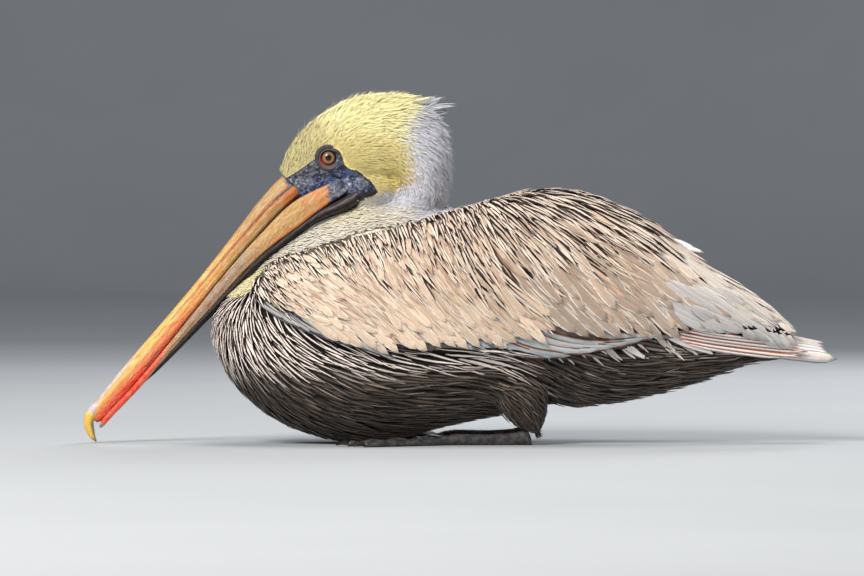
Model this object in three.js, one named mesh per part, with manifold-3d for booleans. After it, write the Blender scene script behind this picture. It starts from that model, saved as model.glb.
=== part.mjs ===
// A resting brown pelican, life size, as a still museum model.
// Millimetres, +Z up. The bird faces -X and its left side is -Y. The origin is on the floor,
// below the middle of the bird's length and width.
import * as THREE from "three";
import { mergeVertices } from "three/addons/utils/BufferGeometryUtils.js";
import Module from "manifold-3d";

const wasm = await Module();
wasm.setup();

const GAP = 0.4; // clearance between pieces that touch
const LEFT = -1;
const RIGHT = 1;
const SIDES = [["left", LEFT], ["right", RIGHT]];

// ---------------------------------------------------------------- trunk and folded wings
// The trunk's outlines along its length: [place along the body, height or half-width].
const BACK = [[-239.6, 114], [-237, 123], [-221, 145], [-187, 171], [-154, 189], [-96, 207],
  [-19, 225], [58, 243], [82, 246], [106, 244], [144, 231.5], [182, 209], [211, 176], [240, 142],
  [269, 117], [298, 107], [326, 101.5], [361, 93]];
const BELLY = [[-239.6, 104], [-237, 93], [-221, 61], [-187, 28], [-154, 11], [-115, 0.6],
  [-96, -1.2], [-77, -1.2], [-58, 3.5], [-19, 14], [58, 29], [144, 37], [211, 53], [269, 72],
  [313, 81], [361, 82]];
const HALF_WIDTH = [[-239.6, 5], [-237, 22], [-221, 51], [-187, 71], [-154, 79], [-77, 86],
  [-19, 85], [58, 77], [144, 61], [211, 43], [269, 32], [298, 31], [326, 34], [361, 41]];
// How far the folded wings rise above the trunk's back and stand out from its flanks.
const WING_RISE = [[-240, 0], [-187, 8], [-96, 9], [19, 5], [106, 3], [144, 3], [182, 7],
  [211, 17], [240, 29], [269, 36], [298, 26], [313, 14], [326, 4], [345, 0]];
const WING_SPREAD = [[-240, 0], [-187, 6], [-96, 10], [106, 10], [240, 9], [298, 6], [326, 3], [345, 0]];
const SQUARENESS = 2.3; // exponent of the body's oval section, 2 is an ellipse
const TRUNK_END = 264;

// The folded wing as it lies on the body, edge by edge.
const WING_FRONT = { x: -190, bulge: 10 }; // the bend of the wing stands forward
const WING_TIP = 323.5;
const WING_TOP_EDGE = [[-200, 42], [-150, 47], [-100, 48], [-20, 44], [40, 33], [100, 21], [150, 9],
  [190, 1.5], [211, 0.7], [340, 0.7]]; // distance from the midline
const WING_LOW_EDGE = [[-202, 136], [-190, 131], [-154, 114], [-106, 97], [-62, 89.5], [-19, 91],
  [38, 87.5], [96, 84.5], [134, 91], [173, 100], [200, 106], [230, 110], [269, 107.5], [298, 104.6],
  [323.5, 101.2]]; // height above the floor
const PRIMARIES = { start: 205, tip: 334, share: 0.55 }; // share of the wing's depth that they keep
const PRIMARIES_LOW_EDGE = [[200, 101], [221, 103], [269, 95], [298, 89.3], [326, 85.4], [340, 86.4]];

const TAIL = { root: 266, tip: 361, sunk: 1.2, thick: 2.6, wrap: 1.72, rounding: 9 };
const UNDERTAIL_SECTIONS = [
  // x, top, bottom, half-width
  [250, 104, 67, 27],
  [266, 102, 72.5, 24],
  [281, 96, 76.5, 20],
  [297, 91, 79.5, 15],
  [310, 87, 82, 8],
];

// ---------------------------------------------------------------- head and neck
// The head and the folded neck are one length of rings from the forehead over the crown, down
// the nape and forwards again to the breast. Each row is a ring: its point on the outside of the
// fold, its point on the inside, and its half-width.
const NECK_RINGS = [
  // outside x, z, inside x, z, half-width
  [-174, 263, -159, 231, 13],
  [-164.5, 281.5, -136, 232, 19.5],
  [-146, 305, -114, 238, 25.5],
  [-110.4, 328, -93, 243, 29],
  [-76.8, 334, -76, 247, 30.5],
  [-40, 329, -67, 248, 30.5],
  [-15.5, 303, -64, 243, 30],
  [-10.2, 270, -65, 237, 29.5],
  [-13, 240, -69, 231, 29],
  [-30, 205, -77, 226, 29.5],
  [-66, 172, -94, 230, 31.5],
  [-110, 150, -126, 219, 33],
  [-150, 128, -163, 197, 36],
  [-180, 112, -193, 171, 38],
  [-196, 100, -209, 147, 36],
];
const NECK_PARTS = {
  head: { from: 0, to: 5, steps: 11 },
  neck_upper: { from: 5, to: 9, steps: 8 },
  neck_lower: { from: 9, to: 14, steps: 9 },
};
const NECK_TRIM = 0.02; // GAP, as a share of one row
const CHEEK = { x: -85, z: 243, long: 34, wide: 26, deep: 20 }; // fills the fold below the ear
const CREST_LINE = [[-62, 314, 15, 12], [-42, 319, 10, 8], [-20, 323, 5, 4.5], [-3, 323.6, 1.2, 1.2]];

const EYE = { x: -125.8, y: 18.2, z: 273.6, radius: 8.5 };
const ORBIT = { radius: 13, y: 34.6 }; // the shallow dish that the eye stands in

// ---------------------------------------------------------------- bill
// The bill has a frame of its own: "along" runs from the base towards the tip and "below" from
// the culmen towards the pouch, both in the bird's middle plane.
const BILL_BASE = new THREE.Vector3(-161.3, 0, 245.8);
const BILL_ALONG = new THREE.Vector3(-0.656, 0, -0.755);
const BILL_BELOW = new THREE.Vector3(0.755, 0, -0.656);
const UPPER_BILL = [
  // along, culmen, cutting edge, half-width
  [-2, -14, 12.5, 14.5],
  [14, -15, 11, 14],
  [29, -15, 9.4, 12.8],
  [58, -13.3, 8.4, 11],
  [96, -11, 7.4, 9.6],
  [144, -9.2, 8.8, 8.8],
  [192, -8.8, 10.4, 9.2],
  [240, -8.8, 11.4, 10],
  [262, -8, 10.8, 9.8],
  [274, -7.2, 9.2, 8.6],
];
const LOWER_BILL = [
  // along, cutting edge, lower edge, half-width across both rami
  [-44, 31, 45, 24.5],
  [-24, 24, 41.5, 24],
  [-8, 16.8, 36.5, 22.5],
  [8, 11.2, 32.8, 20.5],
  [24, 8.4, 29.8, 18.5],
  [48, 7.2, 24.2, 16],
  [72, 6.2, 20.2, 14],
  [96, 6, 18.4, 12.6],
  [144, 7.6, 17.6, 10.8],
  [192, 9.4, 16.2, 9.8],
  [240, 10.6, 14.8, 9.4],
  [270, 9, 12.4, 8],
  [284, 7.4, 11, 4.5],
];
const RAMUS = { thick: 6.5, tipThick: 8 };
const POUCH = [
  // along, upper edge, lower edge, half-width
  [-50, 48, 60, 19],
  [-37, 46, 61.5, 22.5],
  [-20, 41.5, 56.5, 23],
  [-2, 35, 46.5, 21],
  [17, 31.6, 38.5, 18.5],
  [47, 24.8, 33.6, 15.5],
  [75, 20.2, 28.2, 13.2],
  [98, 18.8, 25.8, 11.8],
  [125, 18.4, 24.4, 10.6],
  [149, 17.9, 23, 9.8],
  [192, 16.8, 20.4, 8.6],
  [230, 15.6, 17.6, 7.4],
  [250, 14.9, 15.9, 6],
];
const NAIL_LINE = [
  // along, below, half-depth, half-width
  [274.6, 0.6, 7.6, 8],
  [285, -1.6, 6.4, 7.4],
  [295, -0.6, 5.2, 6.2],
  [302.5, 4.8, 4.3, 4.6],
  [306.6, 11.8, 2.6, 2.8],
  [307.6, 18.2, 0.7, 0.7],
];

// ---------------------------------------------------------------- legs
const FOOT = { x: -12, y: 54, webThick: 2.2 };
const HOCK = { x: 66, y: 47 };
const TARSUS_RADIUS = [7.2, 6, 6.6, 8.4]; // from the foot back to the hock
const TOES = [
  // toe, length, degrees outwards from straight ahead, radius at the root and at the tip
  ["hind", 42, -40, 4.4, 3],
  ["inner", 76, -1, 5.2, 3.2],
  ["middle", 98, 15, 5.6, 3.4],
  ["outer", 92, 31, 5.2, 3.2],
];
const CLAW = { length: 11, root: 2.5, tip: 0.5, drop: 2.2 };
const THIGH_LINE = [[72, 47, 12, 4], [70, 47, 17, 11], [66, 48, 28, 19], [60, 50, 42, 25], [52, 50, 57, 22]];

// ---------------------------------------------------------------- colours
const COLOURS = {
  head: 0xe6dc93,
  neck: 0xe4e1da,
  trunk: 0x574a42,
  wing: 0xb3a28f,
  flight: 0x8f8a86,
  tail: 0xb9b4ae,
  bill: 0xe0b36a,
  nail: 0xe3c44e,
  pouch: 0x3a3836,
  leg: 0x4b4a49,
  claw: 0x2c2a28,
  eye: 0x8a6446,
};

// ================================================================ shapes
// A smooth curve through rows [x, value...] that never overshoots them, for one column.
function through(rows, column = 1) {
  const x = rows.map((row) => row[0]);
  const v = rows.map((row) => row[column]);
  const rise = x.slice(1).map((xi, i) => (v[i + 1] - v[i]) / (xi - x[i]));
  const slope = x.map((_, i) => {
    if (i === 0) return rise[0];
    if (i === x.length - 1) return rise[i - 1];
    return rise[i - 1] * rise[i] <= 0 ? 0 : (2 * rise[i - 1] * rise[i]) / (rise[i - 1] + rise[i]);
  });
  return (at) => {
    const p = Math.min(Math.max(at, x[0]), x[x.length - 1]);
    let i = 0;
    while (i < x.length - 2 && p > x[i + 1]) i += 1;
    const w = x[i + 1] - x[i];
    const t = (p - x[i]) / w;
    const u = 1 - t;
    return v[i] * (1 + 2 * t) * u * u + v[i + 1] * t * t * (3 - 2 * t)
      + slope[i] * w * t * u * u - slope[i + 1] * w * t * t * u;
  };
}

// A closed skin over rings of points that all have the same number of points.
function loft(rings) {
  const count = rings[0].length;
  const points = rings.flat();
  const faces = [];
  for (let r = 0; r < rings.length - 1; r += 1) {
    for (let i = 0; i < count; i += 1) {
      const a = r * count + i;
      const b = r * count + ((i + 1) % count);
      faces.push(a, b, b + count, a, b + count, a + count);
    }
  }
  [0, rings.length - 1].forEach((r, end) => {
    const middle = new THREE.Vector3();
    rings[r].forEach((p) => middle.addScaledVector(p, 1 / count));
    points.push(middle);
    for (let i = 0; i < count; i += 1) {
      const a = r * count + i;
      const b = r * count + ((i + 1) % count);
      faces.push(...(end ? [points.length - 1, a, b] : [points.length - 1, b, a]));
    }
  });
  return facingOut(new THREE.BufferGeometry().setFromPoints(points).setIndex(faces));
}

// A closed thick sheet between two surfaces, each a function of u and v from 0 to 1.
function sheet(outer, inner, nu, nv) {
  const points = [];
  const faces = [];
  const at = (side, i, j) => side * (nu + 1) * (nv + 1) + i * (nv + 1) + j;
  [outer, inner].forEach((surface) => {
    for (let i = 0; i <= nu; i += 1) {
      for (let j = 0; j <= nv; j += 1) points.push(surface(i / nu, j / nv));
    }
  });
  for (let i = 0; i < nu; i += 1) {
    for (let j = 0; j < nv; j += 1) {
      faces.push(at(0, i, j), at(0, i + 1, j), at(0, i + 1, j + 1));
      faces.push(at(0, i, j), at(0, i + 1, j + 1), at(0, i, j + 1));
      faces.push(at(1, i, j), at(1, i + 1, j + 1), at(1, i + 1, j));
      faces.push(at(1, i, j), at(1, i, j + 1), at(1, i + 1, j + 1));
    }
  }
  const wall = (i0, j0, i1, j1) => {
    faces.push(at(0, i1, j1), at(0, i0, j0), at(1, i0, j0));
    faces.push(at(0, i1, j1), at(1, i0, j0), at(1, i1, j1));
  };
  for (let i = 0; i < nu; i += 1) {
    wall(i, 0, i + 1, 0);
    wall(i + 1, nv, i, nv);
  }
  for (let j = 0; j < nv; j += 1) {
    wall(nu, j, nu, j + 1);
    wall(0, j + 1, 0, j);
  }
  return facingOut(new THREE.BufferGeometry().setFromPoints(points).setIndex(faces));
}

// Turns every face over if the closed geometry encloses a negative volume.
function facingOut(g) {
  const p = g.getAttribute("position");
  const index = g.getIndex();
  const [a, b, c] = [new THREE.Vector3(), new THREE.Vector3(), new THREE.Vector3()];
  let volume = 0;
  for (let i = 0; i < index.count; i += 3) {
    a.fromBufferAttribute(p, index.getX(i));
    b.fromBufferAttribute(p, index.getX(i + 1));
    c.fromBufferAttribute(p, index.getX(i + 2));
    volume += a.dot(b.cross(c));
  }
  if (volume < 0) {
    for (let i = 0; i < index.count; i += 3) {
      const second = index.getX(i + 1);
      index.setX(i + 1, index.getX(i + 2));
      index.setX(i + 2, second);
    }
  }
  return g;
}

// ---------------------------------------------------------------- cutting and joining
function solid(geometry) {
  const bare = new THREE.BufferGeometry().setIndex(geometry.getIndex());
  bare.setAttribute("position", geometry.getAttribute("position"));
  const merged = mergeVertices(bare, 1e-4);
  return new wasm.Manifold(new wasm.Mesh({
    numProp: 3,
    vertProperties: new Float32Array(merged.getAttribute("position").array),
    triVerts: new Uint32Array(merged.getIndex().array),
  }));
}

function geometryOf(made) {
  const { vertProperties, triVerts, numProp } = made.getMesh();
  const places = new Float32Array((vertProperties.length / numProp) * 3);
  for (let i = 0; i * numProp < vertProperties.length; i += 1) {
    places.set(vertProperties.subarray(i * numProp, i * numProp + 3), i * 3);
  }
  const g = new THREE.BufferGeometry();
  g.setAttribute("position", new THREE.BufferAttribute(places, 3));
  return g.setIndex(new THREE.BufferAttribute(triVerts, 1));
}

// The geometry less every cutter, keeping only its largest body.
function cut(geometry, ...cutters) {
  let left = solid(geometry);
  cutters.forEach((cutter) => { left = left.subtract(solid(cutter)); });
  const bodies = left.decompose().sort((a, b) => b.volume() - a.volume());
  return geometryOf(bodies[0]);
}

function join(...pieces) {
  return geometryOf(pieces.map(solid).reduce((all, piece) => all.add(piece)));
}

// Everything below the floor, as a cutter.
function belowFloor() {
  return new THREE.BoxGeometry(1200, 600, 100).translate(0, 0, -50);
}

// ---------------------------------------------------------------- body sections
const [back, belly, halfWidth] = [through(BACK), through(BELLY), through(HALF_WIDTH)];
const [wingRise, wingSpread] = [through(WING_RISE), through(WING_SPREAD)];

// The oval section at x. outwards 0 is the trunk's own surface and 1 the folded wings' surface.
function oval(x, outwards = 0, grow = 0) {
  const top = back(x) + wingRise(x) * outwards + grow;
  const low = belly(x) - 0.2 * wingSpread(x) * outwards - grow;
  const wide = halfWidth(x) + wingSpread(x) * outwards + grow;
  return { middle: (top + low) / 2, tall: (top - low) / 2, wide };
}

// The point of a section at an angle from its top, positive towards the bird's right.
function onOval(x, angle, { middle, tall, wide }) {
  const bend = (c) => Math.sign(c) * Math.abs(c) ** (2 / SQUARENESS);
  return new THREE.Vector3(x, wide * bend(Math.sin(angle)), middle + tall * bend(Math.cos(angle)));
}

const angleAtWidth = (y, { wide }) => Math.asin(Math.min(1, Math.abs(y) / wide) ** (SQUARENESS / 2));

function angleAtHeight(z, { middle, tall }) {
  const c = (z - middle) / tall;
  return Math.acos(Math.sign(c) * Math.min(1, Math.abs(c)) ** (SQUARENESS / 2));
}

function ovalRing(x, section, count) {
  return Array.from({ length: count }, (_, i) => onOval(x, (i / count) * 2 * Math.PI, section));
}

// The body from the breast back to the trunk's end or further, with no wings.
function core(end, grow = 0, points = 24) {
  const places = [-239.6, -237, -231, -221, -206, -186];
  const evenly = 15; // lengths of the body between the last of those places and the trunk's end
  const first = -162;
  const step = (TRUNK_END - first) / evenly;
  for (let i = 0; first + i * step < end + 1; i += 1) places.push(first + i * step);
  return loft(places.map((x) => ovalRing(x, oval(x, 0, grow), points)));
}

function undertail() {
  return loft(UNDERTAIL_SECTIONS.map(([x, top, low, wide]) => (
    ovalRing(x, { middle: (top + low) / 2, tall: (top - low) / 2, wide }, 14))));
}

// A sheet on the flank between two edges. It reaches out to a share, depth, of the folded
// wing's own height above the trunk, and sinks a little way into the trunk.
function flankSheet(side, { start, end, highEdge, lowEdge, depth = 1, steps, grow = 0 }) {
  const surface = (outwards, offset) => (u, v) => {
    const x = start(v) + (end(v) - start(v)) * u;
    const section = oval(x, outwards, offset);
    const high = highEdge(x, section);
    return onOval(x, side * (high + (lowEdge(x, section) - high) * v), section);
  };
  return sheet(surface(depth, grow), surface(0, -2 - grow), ...steps);
}

const wingTopEdge = through(WING_TOP_EDGE);
const wingLowEdge = through(WING_LOW_EDGE);
const primariesLowEdge = through(PRIMARIES_LOW_EDGE);

function foldedWing(side, grow = 0) {
  return flankSheet(side, {
    start: (v) => WING_FRONT.x - WING_FRONT.bulge * Math.sin(Math.PI * v),
    end: () => WING_TIP,
    highEdge: (x, section) => angleAtWidth(wingTopEdge(x), section),
    lowEdge: (x, section) => angleAtHeight(wingLowEdge(x) - grow, section),
    steps: [19, 8],
    grow,
  });
}

function primaries(side) {
  return flankSheet(side, {
    start: () => PRIMARIES.start,
    end: (v) => PRIMARIES.tip - 4 * (1 - v),
    highEdge: (x, section) => angleAtHeight(wingLowEdge(x) - 1, section),
    lowEdge: (x, section) => angleAtHeight(primariesLowEdge(x), section),
    depth: PRIMARIES.share,
    steps: [9, 3],
  });
}

function tail() {
  const place = (u, v) => {
    const across = 2 * v - 1;
    return TAIL.root + (TAIL.tip - TAIL.rounding * across * across - TAIL.root) * u;
  };
  const surface = (grow) => (u, v) => {
    const x = place(u, v);
    return onOval(x, TAIL.wrap * (2 * v - 1), oval(x, 0, grow));
  };
  return sheet(surface(-TAIL.sunk), surface(-TAIL.sunk - TAIL.thick), 5, 10);
}

// ---------------------------------------------------------------- lengths along a line
const inBodyPlane = (x, z) => new THREE.Vector3(x, 0, z);

// Rings round a line in the middle plane, whose rows are [place, place, half-depth, half-width].
function ringsAlong(table, { steps, points, place }) {
  const line = new THREE.CatmullRomCurve3(table.map(([a, b]) => place(a, b)));
  const rows = table.map((row, i) => [i, ...row]);
  const [depth, width] = [through(rows, 3), through(rows, 4)];
  const across = new THREE.Vector3(0, 1, 0);
  return Array.from({ length: steps + 1 }, (_, s) => {
    const t = ((table.length - 1) * s) / steps;
    const middle = line.getPoint(s / steps);
    const outer = line.getTangent(s / steps).cross(across).normalize();
    return Array.from({ length: points }, (__, i) => {
      const angle = (i / points) * 2 * Math.PI;
      return middle.clone()
        .addScaledVector(outer, depth(t) * Math.cos(angle))
        .addScaledVector(across, width(t) * Math.sin(angle));
    });
  });
}

const inBillPlane = (along, below) => (
  BILL_BASE.clone().addScaledVector(BILL_ALONG, along).addScaledVector(BILL_BELOW, below));

function neckRings(name, grow = 0, trim = 0) {
  const { from, to, steps } = NECK_PARTS[name];
  const outside = new THREE.CatmullRomCurve3(NECK_RINGS.map(([x, z]) => inBodyPlane(x, z)));
  const inside = new THREE.CatmullRomCurve3(NECK_RINGS.map(([, , x, z]) => inBodyPlane(x, z)));
  const width = through(NECK_RINGS.map((row, i) => [i, row[4]]));
  const points = 22;
  return Array.from({ length: steps + 1 }, (_, s) => {
    const t = from + trim + ((to - from - trim) * s) / steps;
    const [a, b] = [outside, inside].map((line) => line.getPoint(t / (NECK_RINGS.length - 1)));
    const middle = a.clone().lerp(b, 0.5);
    const outwards = a.clone().sub(middle);
    const deep = outwards.length() + grow;
    outwards.normalize();
    return Array.from({ length: points }, (__, i) => {
      const angle = (i / points) * 2 * Math.PI;
      const p = middle.clone().addScaledVector(outwards, deep * Math.cos(angle));
      p.y = (width(t) + grow) * Math.sin(angle);
      return p;
    });
  });
}

// One length of the neck, drawn back a little from the length before it.
const neckLength = (name) => loft(neckRings(name, 0, name === "head" ? 0 : NECK_TRIM));

// Lengths of head and neck in one, a little larger all round, to cut clearances with.
const neckCutter = (...names) => loft(names.flatMap((name, i) => neckRings(name, GAP).slice(i ? 1 : 0)));

function cheek(grow = 0) {
  const { x, z, long, wide, deep } = CHEEK;
  return new THREE.SphereGeometry(1, 12, 8).scale(long + grow, wide + grow, deep + grow)
    .translate(x, 0, z);
}

function crest() {
  return loft(ringsAlong(CREST_LINE, { steps: 5, points: 10, place: inBodyPlane }));
}

// ---------------------------------------------------------------- bill
// Rings across the bill between its two edges, round its middle plane or round one ramus.
function billLoft(table, { points, grow = 0, middle = () => 0, wide = through(table, 3) }) {
  const [upperEdge, lowerEdge] = [through(table, 1), through(table, 2)];
  const last = table.length - 1;
  const ends = [table[0][0] - grow, table[last][0] + grow];
  const soft = (c) => Math.sign(c) * Math.abs(c) ** 0.8;
  return loft(table.map((_, row) => {
    const along = ends[0] + ((ends[1] - ends[0]) * row) / last;
    const centre = (upperEdge(along) + lowerEdge(along)) / 2;
    const deep = (lowerEdge(along) - upperEdge(along)) / 2 + grow;
    return Array.from({ length: points }, (__, i) => {
      const angle = (i / points) * 2 * Math.PI;
      const p = inBillPlane(along, centre + deep * soft(-Math.cos(angle)));
      p.y = middle(along) + (wide(along) + grow) * soft(Math.sin(angle));
      return p;
    });
  }));
}

function upperBill(grow = 0) {
  return billLoft(UPPER_BILL, { points: 14, grow });
}

function ramus(side, grow = 0) {
  const across = through(LOWER_BILL, 3);
  const joined = LOWER_BILL[LOWER_BILL.length - 3][0];
  const thick = (along) => (along < joined ? RAMUS.thick
    : RAMUS.thick + ((RAMUS.tipThick - RAMUS.thick) * (along - joined)) / 40);
  return billLoft(LOWER_BILL, {
    points: 8,
    grow,
    wide: (along) => Math.min(thick(along) / 2, across(along) * 0.9),
    middle: (along) => side * Math.max(across(along) - thick(along) / 2, 0.2),
  });
}

function nail() {
  return loft(ringsAlong(NAIL_LINE, { steps: 7, points: 8, place: inBillPlane }));
}

const pouch = (grow = 0) => billLoft(POUCH, { points: 10, grow });

function eyeball(side, grow = 0) {
  return new THREE.SphereGeometry(EYE.radius + grow, 12, 8).translate(EYE.x, side * EYE.y, EYE.z);
}

// Room for the eyeball and the dish around it.
function orbit(side) {
  const dish = new THREE.SphereGeometry(ORBIT.radius, 12, 8).translate(EYE.x, side * ORBIT.y, EYE.z);
  return join(eyeball(side, GAP), dish);
}

// ---------------------------------------------------------------- legs
// A tapering bar through [x, y, z, radius] rows, flat where it would pass below the floor.
function bar(rows, points, grow = 0) {
  const along = new THREE.Vector3().subVectors(new THREE.Vector3(...rows[rows.length - 1]),
    new THREE.Vector3(...rows[0]));
  const across = new THREE.Vector3(-along.y, along.x, 0).normalize();
  const up = new THREE.Vector3().crossVectors(along, across).normalize();
  if (up.z < 0) up.negate();
  return loft(rows.map(([x, y, z, radius]) => Array.from({ length: points }, (_, i) => {
    const angle = ((i + 0.5) / points) * 2 * Math.PI;
    const p = new THREE.Vector3(x, y, z).addScaledVector(across, (radius + grow) * Math.cos(angle))
      .addScaledVector(up, (radius + grow) * Math.sin(angle));
    p.z = Math.max(p.z, -grow);
    return p;
  })));
}

function toePoint(side, [, length, degrees], share) {
  const a = THREE.MathUtils.degToRad(degrees);
  return [FOOT.x - length * share * Math.cos(a), side * (FOOT.y + length * share * Math.sin(a))];
}

function toe(side, row, grow) {
  const [, , , root, tip] = row;
  return bar([0, 0.35, 0.7, 1].map((share) => {
    const radius = root + (tip - root) * share;
    return [...toePoint(side, row, share), radius * 0.86, radius];
  }), 6, grow);
}

// The webs join all four toes, with an edge that curves in between the claws.
function web(side, grow) {
  const shape = new THREE.Shape();
  const tips = TOES.map((row) => toePoint(side, row, 0.96));
  const hollow = 0.86; // how far the edge's middle draws back towards the foot's root
  shape.moveTo(FOOT.x + 5 + grow, side * FOOT.y);
  shape.lineTo(...tips[0]);
  for (let i = 1; i < tips.length; i += 1) {
    const middle = [0, 1].map((k) => {
      const root = k ? side * FOOT.y : FOOT.x;
      return root + ((tips[i - 1][k] + tips[i][k]) / 2 - root) * hollow;
    });
    shape.quadraticCurveTo(...middle, ...tips[i]);
  }
  shape.closePath();
  return new THREE.ExtrudeGeometry(shape, {
    depth: FOOT.webThick + 2 * grow, bevelEnabled: false, curveSegments: 4,
  }).translate(0, 0, -grow);
}

function foot(side, grow = 0) {
  return join(web(side, grow), ...TOES.map((row) => toe(side, row, grow)));
}

function claw(side, row) {
  const [x, y] = toePoint(side, row, 1);
  const a = THREE.MathUtils.degToRad(row[2]);
  const tipRadius = row[4];
  return bar([0, 0.5, 1].map((share) => {
    const out = 2 * GAP + CLAW.length * share;
    const radius = CLAW.root + (CLAW.tip - CLAW.root) * share;
    const z = tipRadius * 0.86 + 0.8 - CLAW.drop * share * share;
    return [x - out * Math.cos(a), y + side * out * Math.sin(a), z, radius];
  }), 6);
}

function tarsus(side, grow = 0) {
  const last = TARSUS_RADIUS.length - 1;
  const start = FOOT.x + 7.5;
  return bar(TARSUS_RADIUS.map((radius, i) => {
    const share = i / last;
    const y = side * (FOOT.y + (HOCK.y - FOOT.y) * share);
    return [start + (HOCK.x - start) * share, y, radius * 0.86, radius];
  }), 10, grow);
}

function thigh(side, grow = 0) {
  const line = new THREE.CatmullRomCurve3(THIGH_LINE.map(([x, y, z]) => new THREE.Vector3(x, side * y, z)));
  const radius = through(THIGH_LINE.map((row, i) => [i, row[3]]));
  const rings = Array.from({ length: 6 }, (_, s) => {
    const t = s / 5;
    const along = line.getTangent(t);
    const across = new THREE.Vector3(0, 1, 0).cross(along).normalize();
    const out = new THREE.Vector3().crossVectors(along, across).normalize();
    const r = radius(t * (THIGH_LINE.length - 1)) + grow;
    return Array.from({ length: 12 }, (__, i) => {
      const angle = (i / 12) * 2 * Math.PI;
      return line.getPoint(t).addScaledVector(across, r * Math.cos(angle))
        .addScaledVector(out, 0.8 * r * Math.sin(angle));
    });
  });
  return loft(rings);
}

// ================================================================ the bird
const bird = new THREE.Group();

function add(name, geometry, colour, roughness = 0.9) {
  const shown = geometry.getIndex() ? geometry.toNonIndexed() : geometry.clone();
  shown.computeVertexNormals();
  const mesh = new THREE.Mesh(shown, new THREE.MeshStandardMaterial({
    color: COLOURS[colour], roughness, metalness: 0,
  }));
  mesh.name = name;
  bird.add(mesh);
}

function addHeadAndNeck() {
  const eyes = SIDES.map(([, side]) => orbit(side));
  const rami = SIDES.map(([, side]) => ramus(side, GAP));
  const head = join(neckLength("head"), cheek());
  add("head", cut(head, upperBill(GAP), ...rami, pouch(GAP), ...eyes), "head");
  add("crest", cut(crest(), neckCutter("head", "neck_upper")), "neck");
  add("neck_upper", cut(neckLength("neck_upper"), cheek(GAP)), "neck");
  add("neck_lower", cut(neckLength("neck_lower"), cheek(GAP), pouch(GAP), ...rami), "neck");
}

function addBill() {
  const rami = SIDES.map(([, side]) => ramus(side, GAP));
  add("bill_upper", cut(upperBill(), ...rami), "bill", 0.5);
  add("bill_nail", cut(nail(), upperBill(GAP), ...rami), "nail", 0.4);
  add("bill_lower", join(ramus(LEFT), ramus(RIGHT)), "bill", 0.5);
  add("pouch", cut(pouch(), ...rami), "pouch", 0.7);
}

function addTrunk() {
  const legs = SIDES.flatMap(([, side]) => [tarsus(side, GAP), foot(side, GAP)]);
  const neck = neckCutter("head", "neck_upper", "neck_lower");
  const body = join(core(TRUNK_END), undertail());
  add("trunk", cut(body, neck, cheek(GAP), pouch(GAP), belowFloor(), ...legs), "trunk");
  add("tail", tail(), "tail", 0.7);
}

function addSide(name, side) {
  const neck = neckCutter("neck_upper", "neck_lower");
  const body = core(350, GAP);
  add(`wing_${name}`, cut(foldedWing(side), body, neck, pouch(GAP)), "wing", 0.8);
  add(`primaries_${name}`, cut(primaries(side), body, foldedWing(side, GAP)), "flight", 0.7);
  add(`eye_${name}`, eyeball(side), "eye", 0.15);
  add(`thigh_${name}`, cut(thigh(side), core(TRUNK_END, GAP), tarsus(side, GAP)), "trunk");
  add(`tarsus_${name}`, cut(tarsus(side), foot(side, GAP)), "leg", 0.6);
  add(`foot_${name}`, foot(side), "leg", 0.6);
  TOES.forEach((row) => add(`claw_${name}_${row[0]}`, claw(side, row), "claw", 0.4));
}

addHeadAndNeck();
addBill();
addTrunk();
SIDES.forEach(([name, side]) => addSide(name, side));

export default bird;
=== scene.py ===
import math

import bmesh
import bpy
import numpy as np
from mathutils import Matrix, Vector
from mathutils.bvhtree import BVHTree
from mathutils.kdtree import KDTree


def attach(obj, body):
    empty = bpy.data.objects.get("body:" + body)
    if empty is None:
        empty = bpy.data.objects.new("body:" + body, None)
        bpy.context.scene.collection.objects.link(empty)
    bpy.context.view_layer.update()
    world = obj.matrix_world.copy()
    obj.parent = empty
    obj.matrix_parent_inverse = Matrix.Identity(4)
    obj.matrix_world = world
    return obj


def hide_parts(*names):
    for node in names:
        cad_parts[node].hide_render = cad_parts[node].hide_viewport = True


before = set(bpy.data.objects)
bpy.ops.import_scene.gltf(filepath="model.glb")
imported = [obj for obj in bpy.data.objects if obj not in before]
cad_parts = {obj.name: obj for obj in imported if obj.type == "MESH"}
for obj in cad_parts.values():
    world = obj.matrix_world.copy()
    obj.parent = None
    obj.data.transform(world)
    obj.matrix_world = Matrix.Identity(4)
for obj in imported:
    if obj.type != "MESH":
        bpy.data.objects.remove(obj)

MM = 0.001
rng = np.random.default_rng(41)
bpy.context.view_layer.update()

# Places read from the photo are pixels of it, across and down. This turns them into millimetres.
PIXEL = 0.96
PIXEL_X0 = 460
PIXEL_FLOOR = 443
PHOTO_SIZE = (864, 576)
SIDES = (("left", -1), ("right", 1))


def seen(across, down):
    return np.array([(across - PIXEL_X0) * PIXEL, (PIXEL_FLOOR - down) * PIXEL])


def pixels(points):
    """Where points in millimetres are in the photo, seen from either side."""
    return points[:, 0] / PIXEL + PIXEL_X0, PIXEL_FLOOR - points[:, 2] / PIXEL


def srgb(*rgb):
    c = np.array(rgb, float) / 255
    return np.where(c <= 0.04045, c / 12.92, ((c + 0.055) / 1.055) ** 2.4)


def step(a, b, x):
    """0 at a, 1 at b and smooth between them."""
    t = np.clip((x - a) / (b - a), 0, 1)
    return t * t * (3 - 2 * t)


def hump(x, width):
    """1 where x is 0 and less on both sides of it."""
    return np.exp(-((x / width) ** 2))


def blend(a, b, t):
    return a + (b - a) * np.asarray(t)[:, None]


def unit(v):
    return v / np.maximum(np.linalg.norm(v, axis=-1, keepdims=True), 1e-9)


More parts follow.
